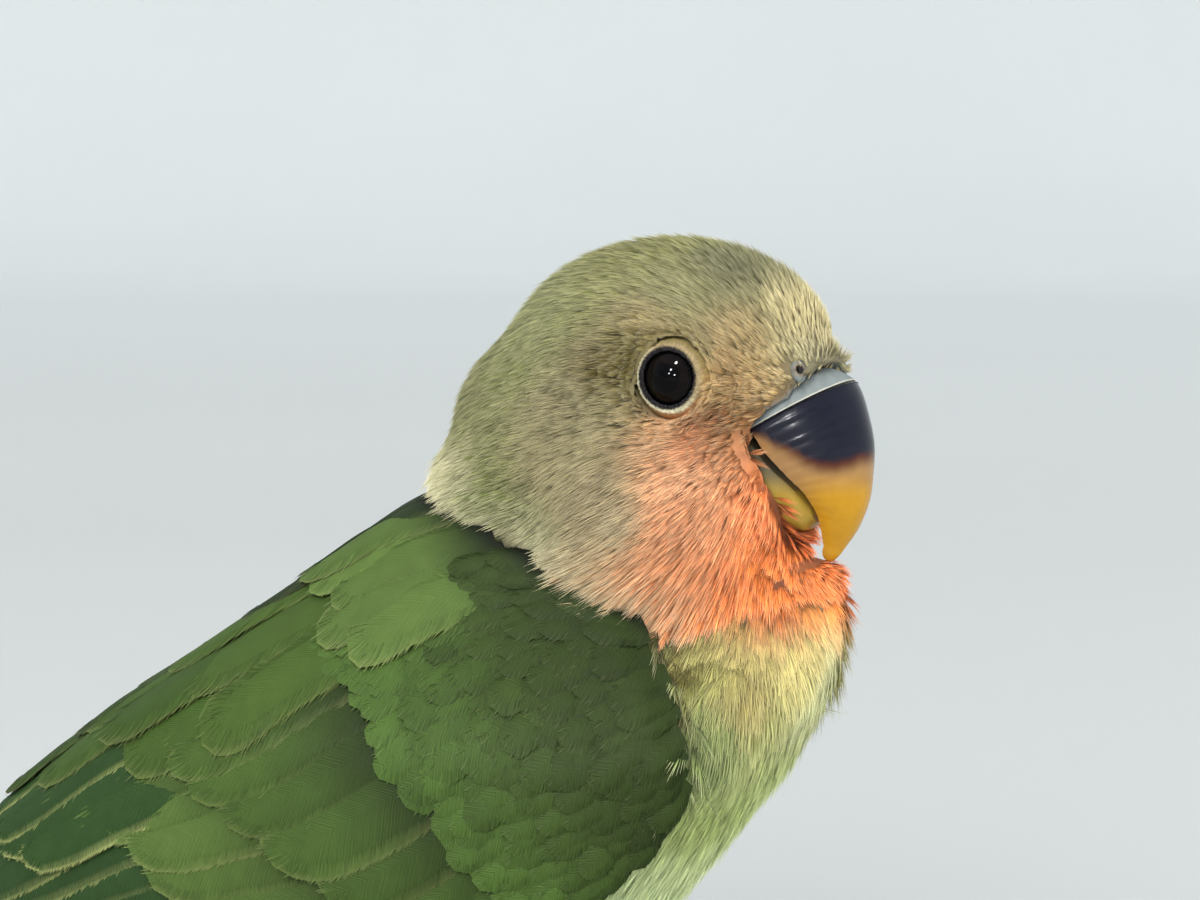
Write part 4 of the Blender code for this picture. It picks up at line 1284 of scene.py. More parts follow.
FLIGHT = Vane(
    150, 0.13, (0.0, 0.93), (0.07, 1.0), 0.01, 0.1, OUTLINE_FLIGHT, (0.0, 0.2), 0.1, 0.0, 0.06, 0.5)
GREATER = Vane(
    90, 0.12, (0.0, 0.87), (0.12, 1.0), 0.02, 0.12, OUTLINE_FLIGHT, (0.2, 0.75), 0.12, 0.03, 0.08, 0.45)
MEDIAN = Vane(
    86, 0.12, (0.0, 0.86), (0.13, 1.0), 0.03, 0.12, OUTLINE_FLIGHT, (0.15, 0.8), 0.12, 0.03, 0.08, 0.45)
LESSER = Vane(
    13, 0.08, (0.0, 0.72), (0.28, 1.02), 0.07, 0.12, OUTLINE_FLIGHT, (0.0, 0.6), 0.14, 0.05, 0.1, 0.4)
SCAPULAR = Vane(
    72, 0.12, (0.0, 0.83), (0.17, 1.0), 0.05, 0.12, OUTLINE_FLIGHT, (0.0, 0.45), 0.12, 0.05, 0.08, 0.4)


class Row(NamedTuple):
    """A row of like feathers on the wing, from (t, share) of its first to its last."""

    count: int
    root_a: tuple
    root_b: tuple
    tip_a: tuple
    tip_b: tuple
    half: float
    lifts: tuple
    vane: Vane
    colour: tuple
    margin: float = 0.0


FLIGHT_ROWS = (
    Row(7, (24, 0.60), (18, 0.93), (89, 0.42), (64, 0.94), 3.9, (0.1, 0.2), FLIGHT, (32, 50, 26)),
    Row(8, (18, 0.34), (18, 0.90), (66, 0.36), (47, 0.90), 4.2, (0.3, 0.6), FLIGHT, (36, 58, 26), 0.4),
    Row(5, (14, 0.08), (14, 0.42), (61, 0.08), (54, 0.46), 4.0, (0.6, 1.3), FLIGHT, (38, 62, 26), 0.6),
)
COVERT_ROWS = (
    Row(9, (12, 0.36), (8, 0.93), (48, 0.34), (28, 0.95), 3.6, (0.7, 1.3), GREATER, (66, 86, 38), 0.2),
    Row(9, (1, 0.34), (-2, 0.94), (33, 0.33), (16, 0.96), 3.4, (0.8, 1.7), MEDIAN, (57, 77, 31), 0.12),
)
SCAPULAR_ROWS = (
    Row(3, (24, 0.05), (20, 0.28), (54, 0.07), (48, 0.27), 4.6, (0.8, 1.5), SCAPULAR, (52, 73, 27), 0.2),
    Row(3, (14, 0.05), (12, 0.30), (43, 0.07), (36, 0.32), 5.0, (0.8, 1.7), SCAPULAR, (54, 75, 27), 0.18),
    Row(3, (5, 0.05), (3, 0.33), (32, 0.05), (25, 0.37), 5.0, (0.9, 1.9), SCAPULAR, (58, 78, 29), 0.15),
    Row(5, (-5, 0.08), (-7, 0.36), (17, 0.06), (11, 0.38), 4.4, (0.9, 2.2), SCAPULAR, (72, 92, 42), 0.15),
)
MANTLE_T = (38, 30, 22, 14, 7, 0, -6)
MANTLE_LENGTH = 17
# The three front rows are darker: painted shadow of the ruff over them.
MANTLE_COLOURS = 4 * ((44, 62, 24),) + 3 * ((32, 44, 20),)
MANTLE_ROWS = tuple(
    Row(3, (t, -0.13), (t, 0.02), (t + MANTLE_LENGTH, -0.12), (t + MANTLE_LENGTH, 0.03),
        3.6, (1.0, 1.8), SCAPULAR, colour, 0.08)
    for t, colour in zip(MANTLE_T, MANTLE_COLOURS)
)
LESSER_ROWS = 12
LESSER_STEP = 1.9
LESSER_ACROSS = 22
LESSER_SHARE = (0.31, 0.68)
LESSER_AHEAD = 1.2
LESSER_CLOSER = 0.25
LESSER_LENGTH = 5.2
LESSER_LIFTS = (0.7, 1.9)
LESSER_HALF = 1.7
LESSER_DARK_ROWS = 3
LESSER_DARK_ROOT = 0.2
# The small coverts' colours at the front and further back; the darker front colour is painted shade.
LESSER_COLOURS = ((40, 52, 20), (63, 86, 35))
LESSER_GRID = (7, 5)
MARGIN = linear(186, 190, 120)
MARGIN_WIDTH = (0.1, 0.7)
VANE_GRID = (22, 9)
LINE_START = 400
RUFF_HEM_SHARE = (-0.2, 0.0, 0.1, 0.2, 0.37, 0.6)
RUFF_HEM_T = (-1.5, -2.0, -4.5, -7.0, -11.0, -17.0)
RUFF_SHADOW = 0.07
RUFF_SHADOW_REACH = (0.4, 4.4)


def ruff_shade(t, share):
    """Darker beside the hem of the ruff, where the wing goes under it."""
    hem = smooth(RUFF_HEM_SHARE, RUFF_HEM_T, np.clip(share, -0.2, 0.6))
    shorter = 1 - 0.4 * ramp(share, (0.3, 0.5))
    return RUFF_SHADOW + (1 - RUFF_SHADOW) * ramp((t - hem) / shorter, RUFF_SHADOW_REACH) ** 1.3


FEATHER_LEAN = 0.1
FEATHER_VARY = 0.08
FEATHER_RISE_TO = 0.6
FEATHER_CAMBER = 0.4
FEATHER_TILT = 0.2
MIDDLE_SHADE = 1.06
EDGE_DARKER = 0.16
WING_UNWRAP_T = (-25, 125)


def wing_unwrap(roots):
    """The place of each root on the bake map of its wing."""
    across = 0.04 + 0.9 * np.clip(roots[:, 1], 0, 1)
    return np.stack([across, (roots[:, 0] - WING_UNWRAP_T[0]) / WING_UNWRAP_T[1]], axis=-1)


def wing_feathers(rng, side, vane, roots, tips, half, lifts, colour, margin, grid=VANE_GRID, down_and_shade=1.0):
    """Feathers along the wing's surface from roots to tips: their barbs, and their closed vanes."""
    start = wing_point(roots[:, 0], roots[:, 1], side)
    end = wing_point(tips[:, 0], tips[:, 1], side)
    length = np.linalg.norm(end - start, axis=1)
    width = np.full(length.shape, float(half))
    lean = FEATHER_LEAN * rng.normal(0, 1, len(length))[:, None, None]
    vary = 1 + FEATHER_VARY * rng.normal(0, 1, (len(length), 1))
    base = np.broadcast_to(colour, (len(length), 3)) * vary

    def laid(local, out, tint):
        across = local[..., 1] / width[:, None, None]
        t, middle = (roots[:, k, None, None] + (tips - roots)[:, k, None, None] * out for k in (0, 1))
        share = middle + local[..., 1] / smooth(WING_T, WING_GIRTH, t)
        lift = lifts[0] + (lifts[1] - lifts[0]) * ramp(out, (0, FEATHER_RISE_TO)) + local[..., 2]
        lift = lift - FEATHER_CAMBER * across**2 + FEATHER_TILT * across + lean
        # Painted shade: each feather lighter in its middle and darker at its edges, and darker by the ruff's
        # hem.
        tint = tint * ((MIDDLE_SHADE - EDGE_DARKER * across**2) * ruff_shade(t, share))[..., None]
        reach = smooth(OUTLINE_AT, vane.outline, np.clip(out, 0, 1)) * width[:, None, None]
        pale = margin * (1 - ramp(reach - np.abs(local[..., 1]), MARGIN_WIDTH))[..., None]
        places = bake_places(wing_unwrap(roots), local, length, width)
        return wing_point(t, share, side, lift), mix(tint, MARGIN, pale), places

    local, out, along = fan(rng, vane, length, width)
    down_and_shade = np.broadcast_to(down_and_shade, length.shape)
    barbs = laid(local, out, shaded(rng, vane, base, out, along, down_and_shade))
    local, out = sheet(vane, length, width, *grid)
    root_shade = 1 - (1 - ROOT_SHADE) * down_and_shade[:, None, None] * (1 - ramp(out, vane.dark_to))
    closed = laid(local, out, base[:, None, None, :] * root_shade[..., None])
    lines = barb_lines(local) + rng.integers(0, LINE_START, len(length))[:, None, None]
    return barbs, (*closed, lines)


def row_places(row):
    """The roots and the tips of a row's feathers, evenly from its first to its last."""
    share = np.linspace(0, 1, row.count)[:, None]
    roots = np.array(row.root_a) + (np.array(row.root_b) - np.array(row.root_a)) * share
    tips = np.array(row.tip_a) + (np.array(row.tip_b) - np.array(row.tip_a)) * share
    return roots, tips


def lesser_places(rng):
    """Brick-laid rows of the small coverts over the front of the wing."""
    roots = []
    for row in range(LESSER_ROWS):
        for k in range(LESSER_ACROSS):
            share = LESSER_SHARE[0] + LESSER_SHARE[1] * (k + 0.5 * (row % 2)) / LESSER_ACROSS
            front = float(smooth(WING_FRONT_SHARE, WING_FRONT_T, min(share, 1.0)))
            t = front - LESSER_AHEAD + LESSER_STEP * row * (1.0 - LESSER_CLOSER * share)
            roots.append((t + rng.normal(0, 0.35), share + rng.normal(0, 0.006)))
    return np.array(roots)


def joined(groups):
    """Barb groups of different rows as one list of barbs."""
    return [
        np.concatenate([g[k].reshape(-1, BARB_POINTS, g[k].shape[-1]) for g in groups]) for k in range(3)
    ]


def feather_pieces(name, feathers, stands_for):
    """The barbs and the closed vanes of feathers, as a piece of each."""
    points, tint, bake = joined([barbs for barbs, _ in feathers])
    coat_piece(name, points, tint, bake, MATERIAL["firm"], stands_for)
    sheet_piece(f"{name}_vanes", [vanes for _, vanes in feathers], MATERIAL["vane"])


def row_feathers(rng, side, row):
    """The feathers of one row, their tips a little uneven."""
    roots, tips = row_places(row)
    tips = tips + rng.normal(0, 1, tips.shape) * (0.8, 0.006)
    colour = linear(*row.colour)
    return wing_feathers(rng, side, row.vane, roots, tips, row.half, row.lifts, colour, row.margin)


def lesser_feathers(rng, side):
    """The small coverts, with painted shade that makes them darker at the front of the wing."""
    roots = lesser_places(rng)
    length = LESSER_LENGTH + 0.05 * (roots[:, 0] + 12)
    tips = roots + np.stack([length, 0.004 * rng.normal(0, 1, len(roots))], axis=-1)
    depth = ramp(roots[:, 0], (-12, 8))[:, None]
    colour = mix(linear(*LESSER_COLOURS[0]), linear(*LESSER_COLOURS[1]), depth)
    first = np.arange(len(roots)) < LESSER_DARK_ROWS * LESSER_ACROSS
    down_and_shade = np.where(first, LESSER_DARK_ROOT, 1.0)
    return wing_feathers(
        rng, side, LESSER, roots, tips, LESSER_HALF, LESSER_LIFTS, colour, 0.0, LESSER_GRID, down_and_shade
    )


def wing_coat(side, word):
    """All feathers of a wing, from the flight feathers up to the mantle."""
    rng = np.random.default_rng(31 if side < 0 else 32)
    flights = [row_feathers(rng, side, row) for row in FLIGHT_ROWS]
    coverts = [row_feathers(rng, side, row) for row in COVERT_ROWS]
    coverts.append(lesser_feathers(rng, side))
    coverts += [row_feathers(rng, side, row) for row in SCAPULAR_ROWS + MANTLE_ROWS]
    feather_pieces(f"flight_feathers_{word}", flights, [f"wing_{word}"])
    feather_pieces(f"wing_coverts_{word}", coverts, [])


def grid_object(name, top, bottom, material):
    """A closed thin body between two like grids of points in side coordinates."""
    rows, columns = top.shape[:2]
    points = np.concatenate([top.reshape(-1, 3), bottom.reshape(-1, 3)])
    index = np.arange(rows * columns).reshape(rows, columns)
    under = index + rows * columns
    faces = [grid_faces(index)]
    faces.append(faces[0][:, ::-1] + rows * columns)
    rim = np.concatenate([index[0, :], index[1:, -1], index[-1, -2::-1], index[-2:0:-1, 0]])
    low = np.concatenate([under[0, :], under[1:, -1], under[-1, -2::-1], under[-2:0:-1, 0]])
    faces.append(np.stack([rim, low, np.roll(low, -1), np.roll(rim, -1)], axis=-1))
    mesh = mesh_from_arrays(name, to_frame(points), np.concatenate(faces))
    outward(mesh)
    mesh.shade_smooth()
    return piece(name, mesh, material)


WING_BASE_SHARES = (-0.12, 0.98)
WING_BASE_BEHIND = 1.5
WING_BASE_LIFT = 0.2


def wing_base(side, word):
    """The flesh of the wing under its feathers, thin at its rim."""
    shares = np.linspace(*WING_BASE_SHARES, 28)
    rows = np.linspace(0, 1, 40)
    front = (smooth(WING_FRONT_SHARE, WING_FRONT_T, shares) + WING_BASE_BEHIND)[None, :]
    t = front + (WING_BASE_END_T - front) * rows[:, None]
    share = np.broadcast_to(shares, t.shape)
    rim = np.minimum(1, 6 * np.minimum(rows, 1 - rows))[:, None] * np.minimum(1, 8 * (1 - shares))
    top = wing_point(t, share, side, WING_BASE_LIFT - 0.9 * (1 - rim))
    bottom = wing_point(t, share, side, -WING_BASE_DEPTH + 0.6 * (1 - rim))
    obj = grid_object(f"wing_base_{word}", top, bottom, MATERIAL["wing_base"])
    set_tint(obj.data, WING_BASE_COLOUR)


# The tail, in pairs of feathers under the middle pair.

RUMP_END_T = 71.0
TAIL_ROOT_N = -14.6
TAIL_MIDDLE_LENGTH = 36.0
TAIL_SHORTER = 2.1
TAIL_PAIRS = 6
TAIL_LOWER = 0.55
TAIL_ASIDE = 1.75
TAIL_HALF_WIDTH = 4.3
TAIL_FLATTER = math.radians(7.5)
TAIL_LIFT = 1.9
TAIL_GREEN = linear(66, 112, 52)
TAIL_TIP = linear(74, 122, 96)
TAIL_ORANGE = linear(206, 112, 62)
TAIL_BAR = linear(34, 40, 34)


def tail_point(along, aside, lift):
    """A point of the tail: along it, sideways, and above its plane."""
    n = TAIL_ROOT_N + math.sin(TAIL_FLATTER) * along + math.cos(TAIL_FLATTER) * lift
    t = RUMP_END_T + 0.3 + math.cos(TAIL_FLATTER) * along - math.sin(TAIL_FLATTER) * lift
    return from_back(t, n, aside)


def tail_tint(pair, out, edge, rng):
    """Green, with an orange base, a dark bar and a blue-green tip on the outer feathers."""
    outer = min(1.0, pair / 2.0)
    base = np.broadcast_to(TAIL_GREEN, (*out.shape, 3))
    orange_share = outer * (1 - ramp(out, (0.42, 0.52)))
    bar_share = outer * ramp(out, (0.52, 0.58)) * (1 - ramp(out, (0.72, 0.78)))
    tip_share = ramp(out, (0.76, 0.86))
    for colour, share in ((TAIL_TIP, tip_share), (TAIL_ORANGE, orange_share), (TAIL_BAR, bar_share)):
        base = mix(base, colour, share[..., None])
    # Painted shade: darker towards the root, under the coverts, and a little darker at the edges.
    level = (0.7 + 0.3 * ramp(out, (0, 0.4))) * (1 + 0.05 * rng.normal(0, 1, out.shape[:2]))[..., None]
    return base * level[..., None] * (1 - 0.25 * ramp(edge, (0.85, 1)))[..., None]


def tail_feather(pair, side, local, out, length, half, rng):
    """One tail feather's points, colours and bake places."""
    middle = side * (0.8 + TAIL_ASIDE * pair) * (0.35 + 0.65 * out)
    aside = middle + local[..., 1] * (0.72 + 0.28 * ramp(out, (0, 0.4)))
    edge = np.abs(local[..., 1]) / half[0]
    lift = TAIL_LIFT - TAIL_LOWER * pair - 0.03 * np.abs(aside) ** 1.5 - 0.3 * edge**2 + local[..., 2]
    placed = tail_point(local[..., 0], aside, lift + 0.15 * (side > 0))
    root = np.array([[0.5 + side * (0.03 + 0.07 * pair), 0.2]])
    return placed, tail_tint(pair, out, edge, rng), bake_places(root, local, length, half)


def tail_coat():
    """The tail's feathers, pair by pair from the middle outwards."""
    rng = np.random.default_rng(41)
    feathers = []
    half = np.array([TAIL_HALF_WIDTH])
    for pair in range(TAIL_PAIRS):
        for side, _ in SIDES:
            length = np.array([TAIL_MIDDLE_LENGTH - TAIL_SHORTER * pair])
            local, out, _ = fan(rng, FLIGHT, length, half)
            barbs = tail_feather(pair, side, local, out, length, half, rng)
            local, out = sheet(FLIGHT, length, half, *VANE_GRID)
            closed = tail_feather(pair, side, local, out, length, half, rng)
            feathers.append((barbs, (*closed, barb_lines(local))))
    feather_pieces("tail_feathers", feathers, ["tail"])


# The bill: finer lofts on the same lines as the solids.

BILL_RIDGE = ((8.6, -2.0), (10.8, -0.2), (13.6, -1.3), (15.0, -4.3), (15.7, -8.0),
              (15.5, -11.8), (14.4, -15.2), (13.0, -17.3))
BILL_EDGE = ((3.4, -5.3), (5.0, -5.0), (6.2, -5.7), (7.6, -7.8), (9.4, -10.0),
             (10.9, -12.0), (11.5, -14.3), (11.4, -16.9))
BILL_HALF_WIDTH = (6.2, 7.0, 6.9, 6.4, 5.5, 4.2, 2.6, 1.1)
BILL_TIP = (11.6, -18.5)
HORN_STATION = 2
LOWER_EDGE = ((2.8, -8.0), (5.0, -6.6), (7.3, -9.2), (9.2, -11.4), (10.4, -13.4))
LOWER_KEEL = ((2.0, -12.6), (4.2, -14.0), (6.8, -15.4), (9.2, -15.7), (10.6, -14.8))
LOWER_HALF_WIDTH = (5.2, 5.9, 5.1, 3.6, 1.9)
BILL_ROUND = 41
BILL_STEPS = 12


def bill_rings(ridge, edge, half_width, first, last):
    """Fine arches from one cutting edge over the ridge to the other, in head coordinates."""
    order = np.arange(len(half_width))
    at = np.linspace(first, last, (last - first) * BILL_STEPS + 1)
    turns = np.linspace(-math.pi / 2, math.pi / 2, BILL_ROUND)
    top = np.stack([smooth(order, [p[i] for p in ridge], at) for i in (0, 1)], axis=-1)
    low = np.stack([smooth(order, [p[i] for p in edge], at) for i in (0, 1)], axis=-1)
    wide = smooth(order, half_width, at)
    fh = top[:, None, :] + (low - top)[:, None, :] * (1 - np.cos(turns))[None, :, None]
    l = wide[:, None] * np.sin(turns)[None, :]
    return np.stack([fh[..., 0], l, fh[..., 1]], axis=-1), at


def loft(name, rings, material, node=None):
    """A closed smooth body of rings, in place of a node where one is named."""
    count, around = rings.shape[:2]
    index = np.arange(count * around).reshape(count, around)
    points = rings.reshape(-1, 3)
    caps = []
    for ring in (index[0], index[-1]):
        caps.append(len(points))
        points = np.concatenate([points, points[ring].mean(axis=0, keepdims=True)])
    shape = bmesh.new()
    verts = [shape.verts.new(tuple(p)) for p in to_frame(points)]
    for face in grid_faces(index, closed=True):
        shape.faces.new([verts[i] for i in face])
    for ring, centre in ((index[0], caps[0]), (index[-1], caps[1])):
        for a, b in zip(ring, np.roll(ring, -1)):
            shape.faces.new((verts[a], verts[b], verts[centre]))
    bmesh.ops.recalc_face_normals(shape, faces=shape.faces)
    mesh = bpy.data.meshes.new(name)
    shape.to_mesh(mesh)
    shape.free()
    mesh.shade_smooth()
    mesh.set_sharp_from_angle(angle=math.radians(50))
    return piece(name, mesh, material, (node,) if node else ())


HORN_BREAK_F = (7.4, 8.6, 10.0, 12.0, 13.1, 15.7)
HORN_BREAK_H = (-6.05, -6.85, -7.35, -8.5, -8.75, -8.0)
HORN_BLACK = linear(15, 16, 30)
HORN_BROWN = linear(66, 24, 12)
HORN_BEIGE = linear(144, 109, 68)
HORN_YELLOW = linear(176, 128, 22)
LOWER_YELLOW = linear(172, 144, 60)
LOWER_GREY = linear(96, 88, 66)
BILL_BACK_LIFT = np.array((0.3, 0.0, -0.18))
TIP_SHARES = (0.35, 0.65, 0.88, 1.0)


def horn_colour(head):
    """Blue-black over beige and yellow, down the upper bill, with a brown fringe between."""
    f, l, h = head[..., 0], np.abs(head[..., 1]), head[..., 2]
    wave = 0.07 * np.sin(3.1 * l + 0.7 * f) + 0.06 * np.sin(5.1 * f + 1.1)
    above = h - smooth(HORN_BREAK_F, HORN_BREAK_H, f) + wave
    forward = ramp(f, (7, 12))
    dark = ramp(above, (-0.3, 0.35))
    fringe = 0.7 * ramp(above, (-0.7, -0.1)) * (1 - forward) + ramp(above, (-1.7, 0.0)) * forward
    tip = ramp(-h, (9.0, 12.5)) * ramp(f, (9.0, 12.5))
    colour = mix(HORN_BEIGE, HORN_YELLOW, tip[..., None])
    return mix(mix(colour, HORN_BROWN, fringe[..., None]), HORN_BLACK, dark[..., None])


def horn_material(name, roughness):
    """Smooth horn with faint streaks."""
    relief = (2600, 3.0, 0.25, 0.04)
    return grained(name, roughness, (700, 4.0), (0.82, 1.16), relief, Specular_IOR_Level=0.3)


def rounded_tip(rings):
    """The rings, with more of them that close in on the bill's tip."""
    last = rings[-1]
    middle = last.mean(axis=0)
    tip = np.array((BILL_TIP[0], 0.0, BILL_TIP[1]))
    for share in TIP_SHARES:
        size = math.sqrt(max(1 - share**1.6, 0.0004))
        rings = np.concatenate([rings, (middle + (tip - middle) * share + (last - middle) * size)[None]])
    return rings


def bill():
    """Both halves of the bill, the upper one with faint growth rings."""
    rings, at = bill_rings(BILL_RIDGE, BILL_EDGE, BILL_HALF_WIDTH, HORN_STATION, len(BILL_HALF_WIDTH) - 1)
    rings[0] += BILL_BACK_LIFT
    rings = rounded_tip(rings)
    growth = 1 + 0.006 * np.sin(at * 19.0) + 0.004 * np.sin(at * 47.0 + 1.0)
    rings[: len(at), :, 1] *= growth[:, None]
    upper = loft("upper_bill", from_head(rings), horn_material("horn", 0.22), "bill_upper")
    set_tint(upper.data, horn_colour(to_head(side_points(upper.data))))
    rings, _ = bill_rings(LOWER_KEEL, LOWER_EDGE, LOWER_HALF_WIDTH, 0, len(LOWER_HALF_WIDTH) - 1)
    horn = horn_material("lower_horn", 0.33)
    lower = loft("lower_bill", from_head(rings), horn, "bill_lower")
    dull = ramp(to_head(side_points(lower.data))[:, 2], (-12.5, -9.5))[:, None]
    set_tint(lower.data, mix(LOWER_YELLOW, LOWER_GREY, dull))


CERE_SEAM_COLOUR = linear(184, 182, 168)
NOSTRIL_PIT = 0.5


def cere_material():
    """Dull, finely wrinkled skin."""
    return grained("cere", 0.6, (1500, 5.0), (0.7, 1.25), (2400, 4.0, 0.5, 0.08), Specular_IOR_Level=0.25)


def cere_piece():
    """The cere, raised round each nostril, with a pale seam where the horn begins."""
    rings, at = bill_rings(BILL_RIDGE, BILL_EDGE, BILL_HALF_WIDTH, 0, HORN_STATION)
    middle = rings.mean(axis=1, keepdims=True)
    for side, _ in SIDES:
        away = np.linalg.norm(rings - NOSTRIL_AT * (1, side, 1), axis=-1)
        raised = 0.35 * np.exp(-(((away - 1.0) / NOSTRIL_PIT) ** 2))
        push = raised - 1.1 * np.exp(-((away / NOSTRIL_PIT) ** 2))
        rings = rings + unit(rings - middle) * push[..., None]
    obj = loft("cere_skin", from_head(rings), MATERIAL["cere"], "cere")
    head = to_head(side_points(obj.data))
    tint = np.broadcast_to(CERE_COLOUR, head.shape).copy()
    # Painted shade on the cere, darkest in each nostril's pit.
    for side, _ in SIDES:
        away = np.linalg.norm(head - NOSTRIL_AT * (1, side, 1), axis=-1)
        tint *= (1 - 0.85 * np.exp(-((away / NOSTRIL_PIT) ** 2)))[:, None]
    tint[(len(at) - 1) * BILL_ROUND : len(at) * BILL_ROUND] = CERE_SEAM_COLOUR
    set_tint(obj.data, tint)


NARIS_PROFILE = (
    (0.02, -0.3), (0.24, -0.26), (0.34, -0.06), (0.42, 0.01), (0.55, 0.0), (0.75, -0.1), (0.95, -0.32),
)
NARIS_WAY = unit(np.array((0.62, 0.66, 0.42)))
NARIS_WIDE = 0.75
NARIS_TALL = 1.2
NARIS_THICK = 0.4
NARIS_RIM_COLOUR = linear(112, 98, 82)
# The next colour is painted shade, near black, in the nostril's pit.
NARIS_PIT_COLOUR = linear(12, 9, 8)


def naris_piece(side, word):
    """The soft rim round a nostril, with painted shade in its pit."""
    turn = np.linspace(0, 2 * math.pi, 49)
    middle = NOSTRIL_AT * (1, side, 1)
    way = NARIS_WAY * (1, side, 1)
    over = unit(np.cross(way, (0, 0, 1.0)))
    up = np.cross(over, way)
    uneven = 1 + 0.05 * np.sin(3 * turn + 0.6) + 0.03 * np.sin(7 * turn)
    oval = np.cos(turn)[:, None] * over * NARIS_WIDE + np.sin(turn)[:, None] * up * NARIS_TALL
    top = np.stack([middle + oval * (r * uneven)[:, None] + way * height for r, height in NARIS_PROFILE])
    under = top - way * NARIS_THICK
    obj = grid_object(f"naris_{word}", from_head(top), from_head(under), MATERIAL["cere"])
    radius = np.linalg.norm(to_head(side_points(obj.data)) - middle, axis=1)[:, None]
    pit = 1 - ramp(radius, (0.36, 0.48))
    rim = 1 - ramp(radius, (0.5, 0.8))
    set_tint(obj.data, mix(mix(CERE_COLOUR, NARIS_RIM_COLOUR, rim), NARIS_PIT_COLOUR, pit))


# The eyes and their lids

IRIS_RADIUS = 2.3
IRIS_COLOUR = linear(13, 9, 8)
PUPIL_RADIUS = 1.35
PUPIL_COLOUR = linear(3, 3, 4)
CORNEA_BULGE = 0.14
EYE_AROUND = 64


def round_eye_axis(out, away, turn, side):
    """Points of the head round the eye's axis: so far out from it, and so far along it."""
    return np.stack([out * np.cos(turn), side * away, out * np.sin(turn)], axis=-1) + eye_place(side)


def eye_piece(side, word):
    """A dark glossy eye that bulges a little in front of its pupil."""
    polar = np.linspace(0.0, math.pi, 49)
    turn = np.linspace(0, 2 * math.pi, EYE_AROUND, endpoint=False)
    radius = EYE_RADIUS - 0.05 + CORNEA_BULGE * np.exp(-((polar / 0.42) ** 2))
    away = (radius * np.cos(polar))[1:-1, None] * np.ones(EYE_AROUND)
    out = (radius * np.sin(polar))[1:-1, None]
    rings = round_eye_axis(out, away, turn, side)
    material, shader = new_material(f"eye_{word}", 0.04, Specular_IOR_Level=0.08)
    tint = add_node(material, "ShaderNodeAttribute", attribute_name="tint")
    material.node_tree.links.new(tint.outputs["Color"], shader.inputs["Base Color"])
    obj = loft(f"eyeball_{word}", from_head(rings), material, f"eye_{word}")
    head = to_head(side_points(obj.data)) - eye_place(side)
    radial = np.hypot(head[:, 0], head[:, 2])
    pupil = 1 - ramp(radial, (PUPIL_RADIUS - 0.08, PUPIL_RADIUS + 0.12))
    rim = ramp(radial, (IRIS_RADIUS - 0.25, IRIS_RADIUS))
    set_tint(obj.data, mix(IRIS_COLOUR, PUPIL_COLOUR, np.maximum(pupil, rim)[:, None]))


# The rim of the eye, in profile: distance from the middle of the eye, and angle off its axis.
LID_PROFILE = (
    (3.56, 0.78), (3.66, 0.76), (3.78, 0.765), (3.87, 0.80), (3.90, 0.84),
    (3.98, 0.87), (4.05, 0.92), (4.06, 0.98), (4.08, 1.08), (4.10, 1.20),
    (4.12, 1.35), (3.95, 1.55), (3.62, 1.55), (3.62, 1.20), (3.62, 0.90),
)
LID_BEADED = 8
LID_AROUND = 160
LID_GREY = linear(20, 18, 19)
LID_CREAM_DIM = linear(150, 132, 98)
LID_CREAM_LIT = linear(214, 208, 178)
LID_CREAM_FROM = (2.88, 3.02)
LID_COAT_FROM = (3.24, 3.34)
LID_COAT_SHADE = 0.7


def lid_tint(head, side):
    """Speckled grey at the eye, then cream that is lightest low and behind, then the coat's colour."""
    radial = np.hypot(head[:, 0], head[:, 2])
    lit = ramp((-head[:, 0] - head[:, 2]) / 4.2, (-0.6, 0.9))[:, None]
    rng = np.random.default_rng(51)
    grey = LID_GREY * rng.uniform(0.4, 3.2, (len(head), 1))
    cream = mix(LID_CREAM_DIM, LID_CREAM_LIT, lit) * rng.uniform(0.75, 1.1, (len(head), 1))
    light = ramp(radial + 0.12 * (head[:, 0] / radial), LID_CREAM_FROM)[:, None]
    coat = LID_COAT_SHADE * markings(head + eye_place(side), HEAD_MARKS)
    return mix(mix(grey, cream, light), coat, ramp(radial, LID_COAT_FROM)[:, None])


def lid_piece(side, word):
    """A ring of fine beaded skin round the eye."""
    turn = np.linspace(0, 2 * math.pi, LID_AROUND, endpoint=False)
    bead = 0.04 * np.sin(turn * 42) + 0.03 * np.sin(turn * 17 + 1.3) + 0.025 * np.sin(turn * 67 + 0.4)
    points = []
    for k, (radius, polar) in enumerate(LID_PROFILE):
        beaded = bead if 1 <= k <= LID_BEADED else 0 * bead
        reach = radius + beaded
        angle = polar + 0.012 * np.sin(turn * 3 + 0.8) + 0.3 * beaded
        out = reach * np.sin(angle)
        points.append(round_eye_axis(out, reach * np.cos(angle), turn, side))
    points = np.stack(points, axis=1)
    index = np.arange(points[..., 0].size).reshape(points.shape[:2])
    faces = grid_faces(np.concatenate([index, index[:1]]), closed=True)
    name = f"lid_skin_{word}"
    mesh = mesh_from_arrays(name, to_frame(from_head(points.reshape(-1, 3))), faces)
    outward(mesh)
    mesh.shade_smooth()
    material = grained(
        f"lid_{word}", 0.7, (4000, 4.0), (0.6, 1.4), (5000, 3.0, 0.5, 0.05), Specular_IOR_Level=0.08
    )
    set_tint(mesh, lid_tint(to_head(side_points(mesh)) - eye_place(side), side))
    piece(name, mesh, material, (f"lid_{word}",))


# Feet: scaly tubes on the solids' own lines.

